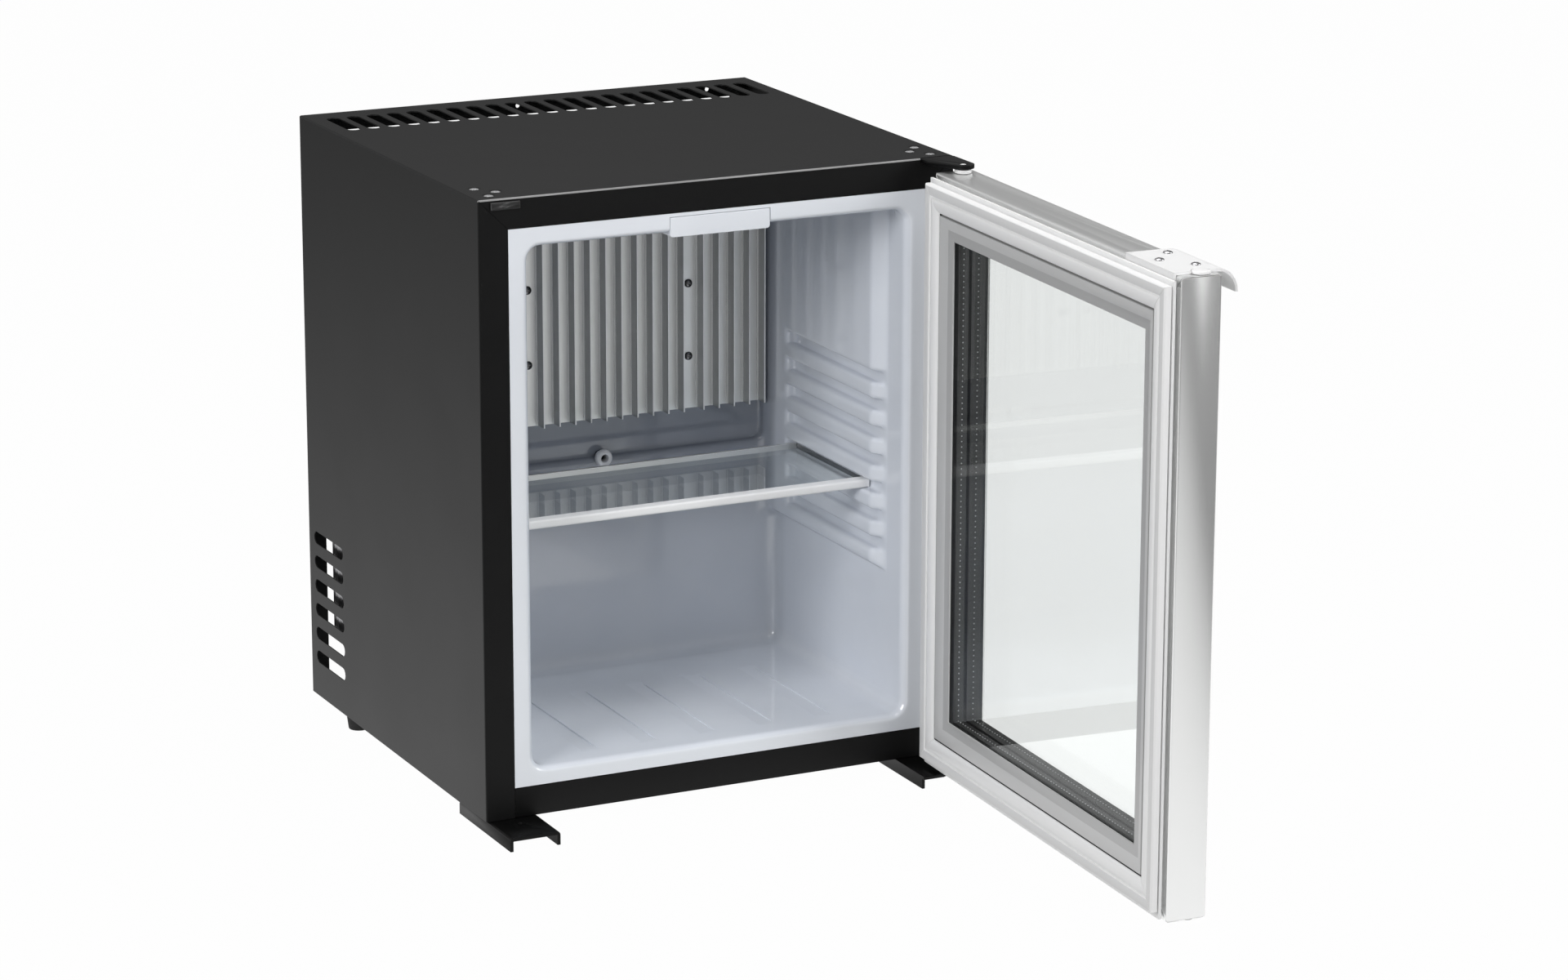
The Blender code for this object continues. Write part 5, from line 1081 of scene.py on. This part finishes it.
def hingePin():
    # The upper pin, with its domed end level with the arm
    size = {"radius": 0.0030, "tip": 0.0026, "taper": 0.0005, "dome": 0.0012, "crown": 0.0001}
    low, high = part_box("upper_hinge_pin")
    spot, radius, shoulder = (low + high) / 2, size["radius"], high.z - size["dome"]
    profile = [(0.0, low.z), (size["tip"], low.z), (radius, low.z + size["taper"]), (radius, shoulder)]
    for step in range(1, 6):
        turn = math.radians(15 * step)
        rise = (size["dome"] + size["crown"]) * math.sin(turn)
        profile.append((radius * math.cos(turn), shoulder + rise))
    profile.append((0.0, high.z + size["crown"]))
    work = bmesh.new()
    chain = [work.verts.new((spot.x + across, spot.y, up)) for across, up in profile]
    edges = [work.edges.new(pair) for pair in zip(chain, chain[1:])]
    bmesh.ops.spin(work, geom=chain + edges, cent=(spot.x, spot.y, 0.0), axis=(0, 0, 1),
                   angle=math.tau, steps=32)
    bmesh.ops.remove_doubles(work, verts=work.verts, dist=1e-6)
    bmesh.ops.recalc_face_normals(work, faces=work.faces)
    # Its steel is near white and partly diffuse, a painted glint of the chrome
    piece = newPiece("upperHingePin", work, "pinSteelPaintedGlint", "cabinet")
    crisp(piece, 40.0)
    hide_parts("upper_hinge_pin")


hingePin()


# Light, floor and camera

def seenRays(wire):
    # 1 for what the camera sees, directly or through glass, and 1 for what gloss shows
    direct = wire.node("ShaderNodeLightPath", output="Is Camera Ray")
    through = wire.node("ShaderNodeLightPath", output="Is Transmission Ray")
    mirrored = wire.node("ShaderNodeLightPath", output="Is Glossy Ray")
    return wire.maths("MAXIMUM", direct, through), mirrored


def studioWorld():
    # In gloss the room is bright on the left, dim behind and overhead
    look = {"ambient": 0.15, "back": 0.25, "left": 1.00, "front": 0.16, "reach": 0.9}
    world = bpy.data.worlds.new("studio")
    bpy.context.scene.world = world
    world.use_nodes = True
    wire = Wire(world.node_tree)
    seen, mirrored = seenRays(wire)
    shares = []
    for heading in axes(wire, wire.node("ShaderNodeTexCoord", output="Generated"))[:2]:
        values = {"Value": 0.0 - heading, "From Min": 0.0, "From Max": look["reach"]}
        shares.append(wire.node("ShaderNodeMapRange", values))
    left, front = shares
    gloss = look["back"] + left * (look["left"] - look["back"])
    gloss = gloss + front * (1.0 - left) * (look["front"] - look["back"])
    back = world.node_tree.nodes["Background"]
    back.inputs["Color"].default_value = (1.0, 1.0, 1.0, 1.0)
    feed(back, "Strength", look["ambient"] * (1.0 - seen) * (1.0 - mirrored) + seen + mirrored * gloss)


def studioFloor():
    # In gloss the lit paper fades with its distance from the fridge
    look = {"white": 0.985, "near": 1.38, "fade": 0.48, "far": 0.14}
    reach, level = 14.0, -0.0117
    mesh = bpy.data.meshes.new("studioFloor")
    corners = [(x, y, level) for x, y in rectangle((-reach, -reach), (reach, reach))]
    mesh.from_pydata(corners, [], [(0, 1, 2, 3)])
    floor = newObject("studioFloor", mesh)
    surface, wire, shader = blankMaterial("paleFloor", 0.7, level=0.1)
    shader.inputs["Base Color"].default_value = (0.35, 0.35, 0.35, 1.0)
    seen, mirrored = seenRays(wire)
    coordinates = wire.node("ShaderNodeTexCoord", output="Object")
    distance = wire.node("ShaderNodeVectorMath", {0: coordinates}, {"operation": "LENGTH"}, "Value")
    faded = wire.maths("MAXIMUM", look["near"] - distance * look["fade"], look["far"])
    values = {"Color": (1.0, 1.0, 1.0, 1.0), "Strength": seen + mirrored * faded}
    glow = wire.node("ShaderNodeEmission", values)
    blend(wire, seen * look["white"] + mirrored, shader.outputs[0], glow.socket)
    mesh.materials.append(surface)


def softbox(name, where, target, size, power):
    lamp = bpy.data.lights.new(name, "AREA")
    lamp.shape = "RECTANGLE"
    lamp.size, lamp.size_y = size
    lamp.energy = power
    holder = newObject(name, lamp)
    holder.location = where
    holder.rotation_euler = (Vector(target) - Vector(where)).to_track_quat("-Z", "Y").to_euler()


def photographView():
    view = {"at": (-1.5724, -3.4919, 1.2374), "lens": 112.22, "down": 15.214, "turn": 26.206, "roll": 0.149}
    camera = bpy.data.cameras.new("photographView")
    camera.lens = view["lens"]
    camera.sensor_width = 36.0
    camera.sensor_fit = "HORIZONTAL"
    eye = newObject("photographView", camera)
    turn = Matrix.Rotation(math.radians(-view["turn"]), 4, "Z")
    tip = Matrix.Rotation(math.radians(90.0 - view["down"]), 4, "X")
    roll = Matrix.Rotation(math.radians(view["roll"]), 4, "Z")
    eye.matrix_world = Matrix.Translation(view["at"]) @ turn @ tip @ roll
    bpy.context.scene.camera = eye


studioWorld()
studioFloor()
softbox("overhead", (0.1, -1.4, 2.8), (0, 0, 0.25), (1.4, 0.9), 25.0)
softbox("topLight", (0.15, 0.35, 2.4), (0, 0, 0.4), (1.4, 1.0), 19.0)
softbox("frontFill", (0.45, -3.0, 0.6), (0, 0, 0.3), (1.0, 0.8), 4.0)
softbox("leftSide", (-2.6, -1.6, 1.6), (0, 0, 0.25), (1.2, 1.4), 54.0)
softbox("rightSide", (2.4, -1.9, 1.4), (0, 0, 0.25), (1.2, 1.4), 44.0)
photographView()
bpy.context.scene.view_settings.view_transform = "Standard"
print("studio set")
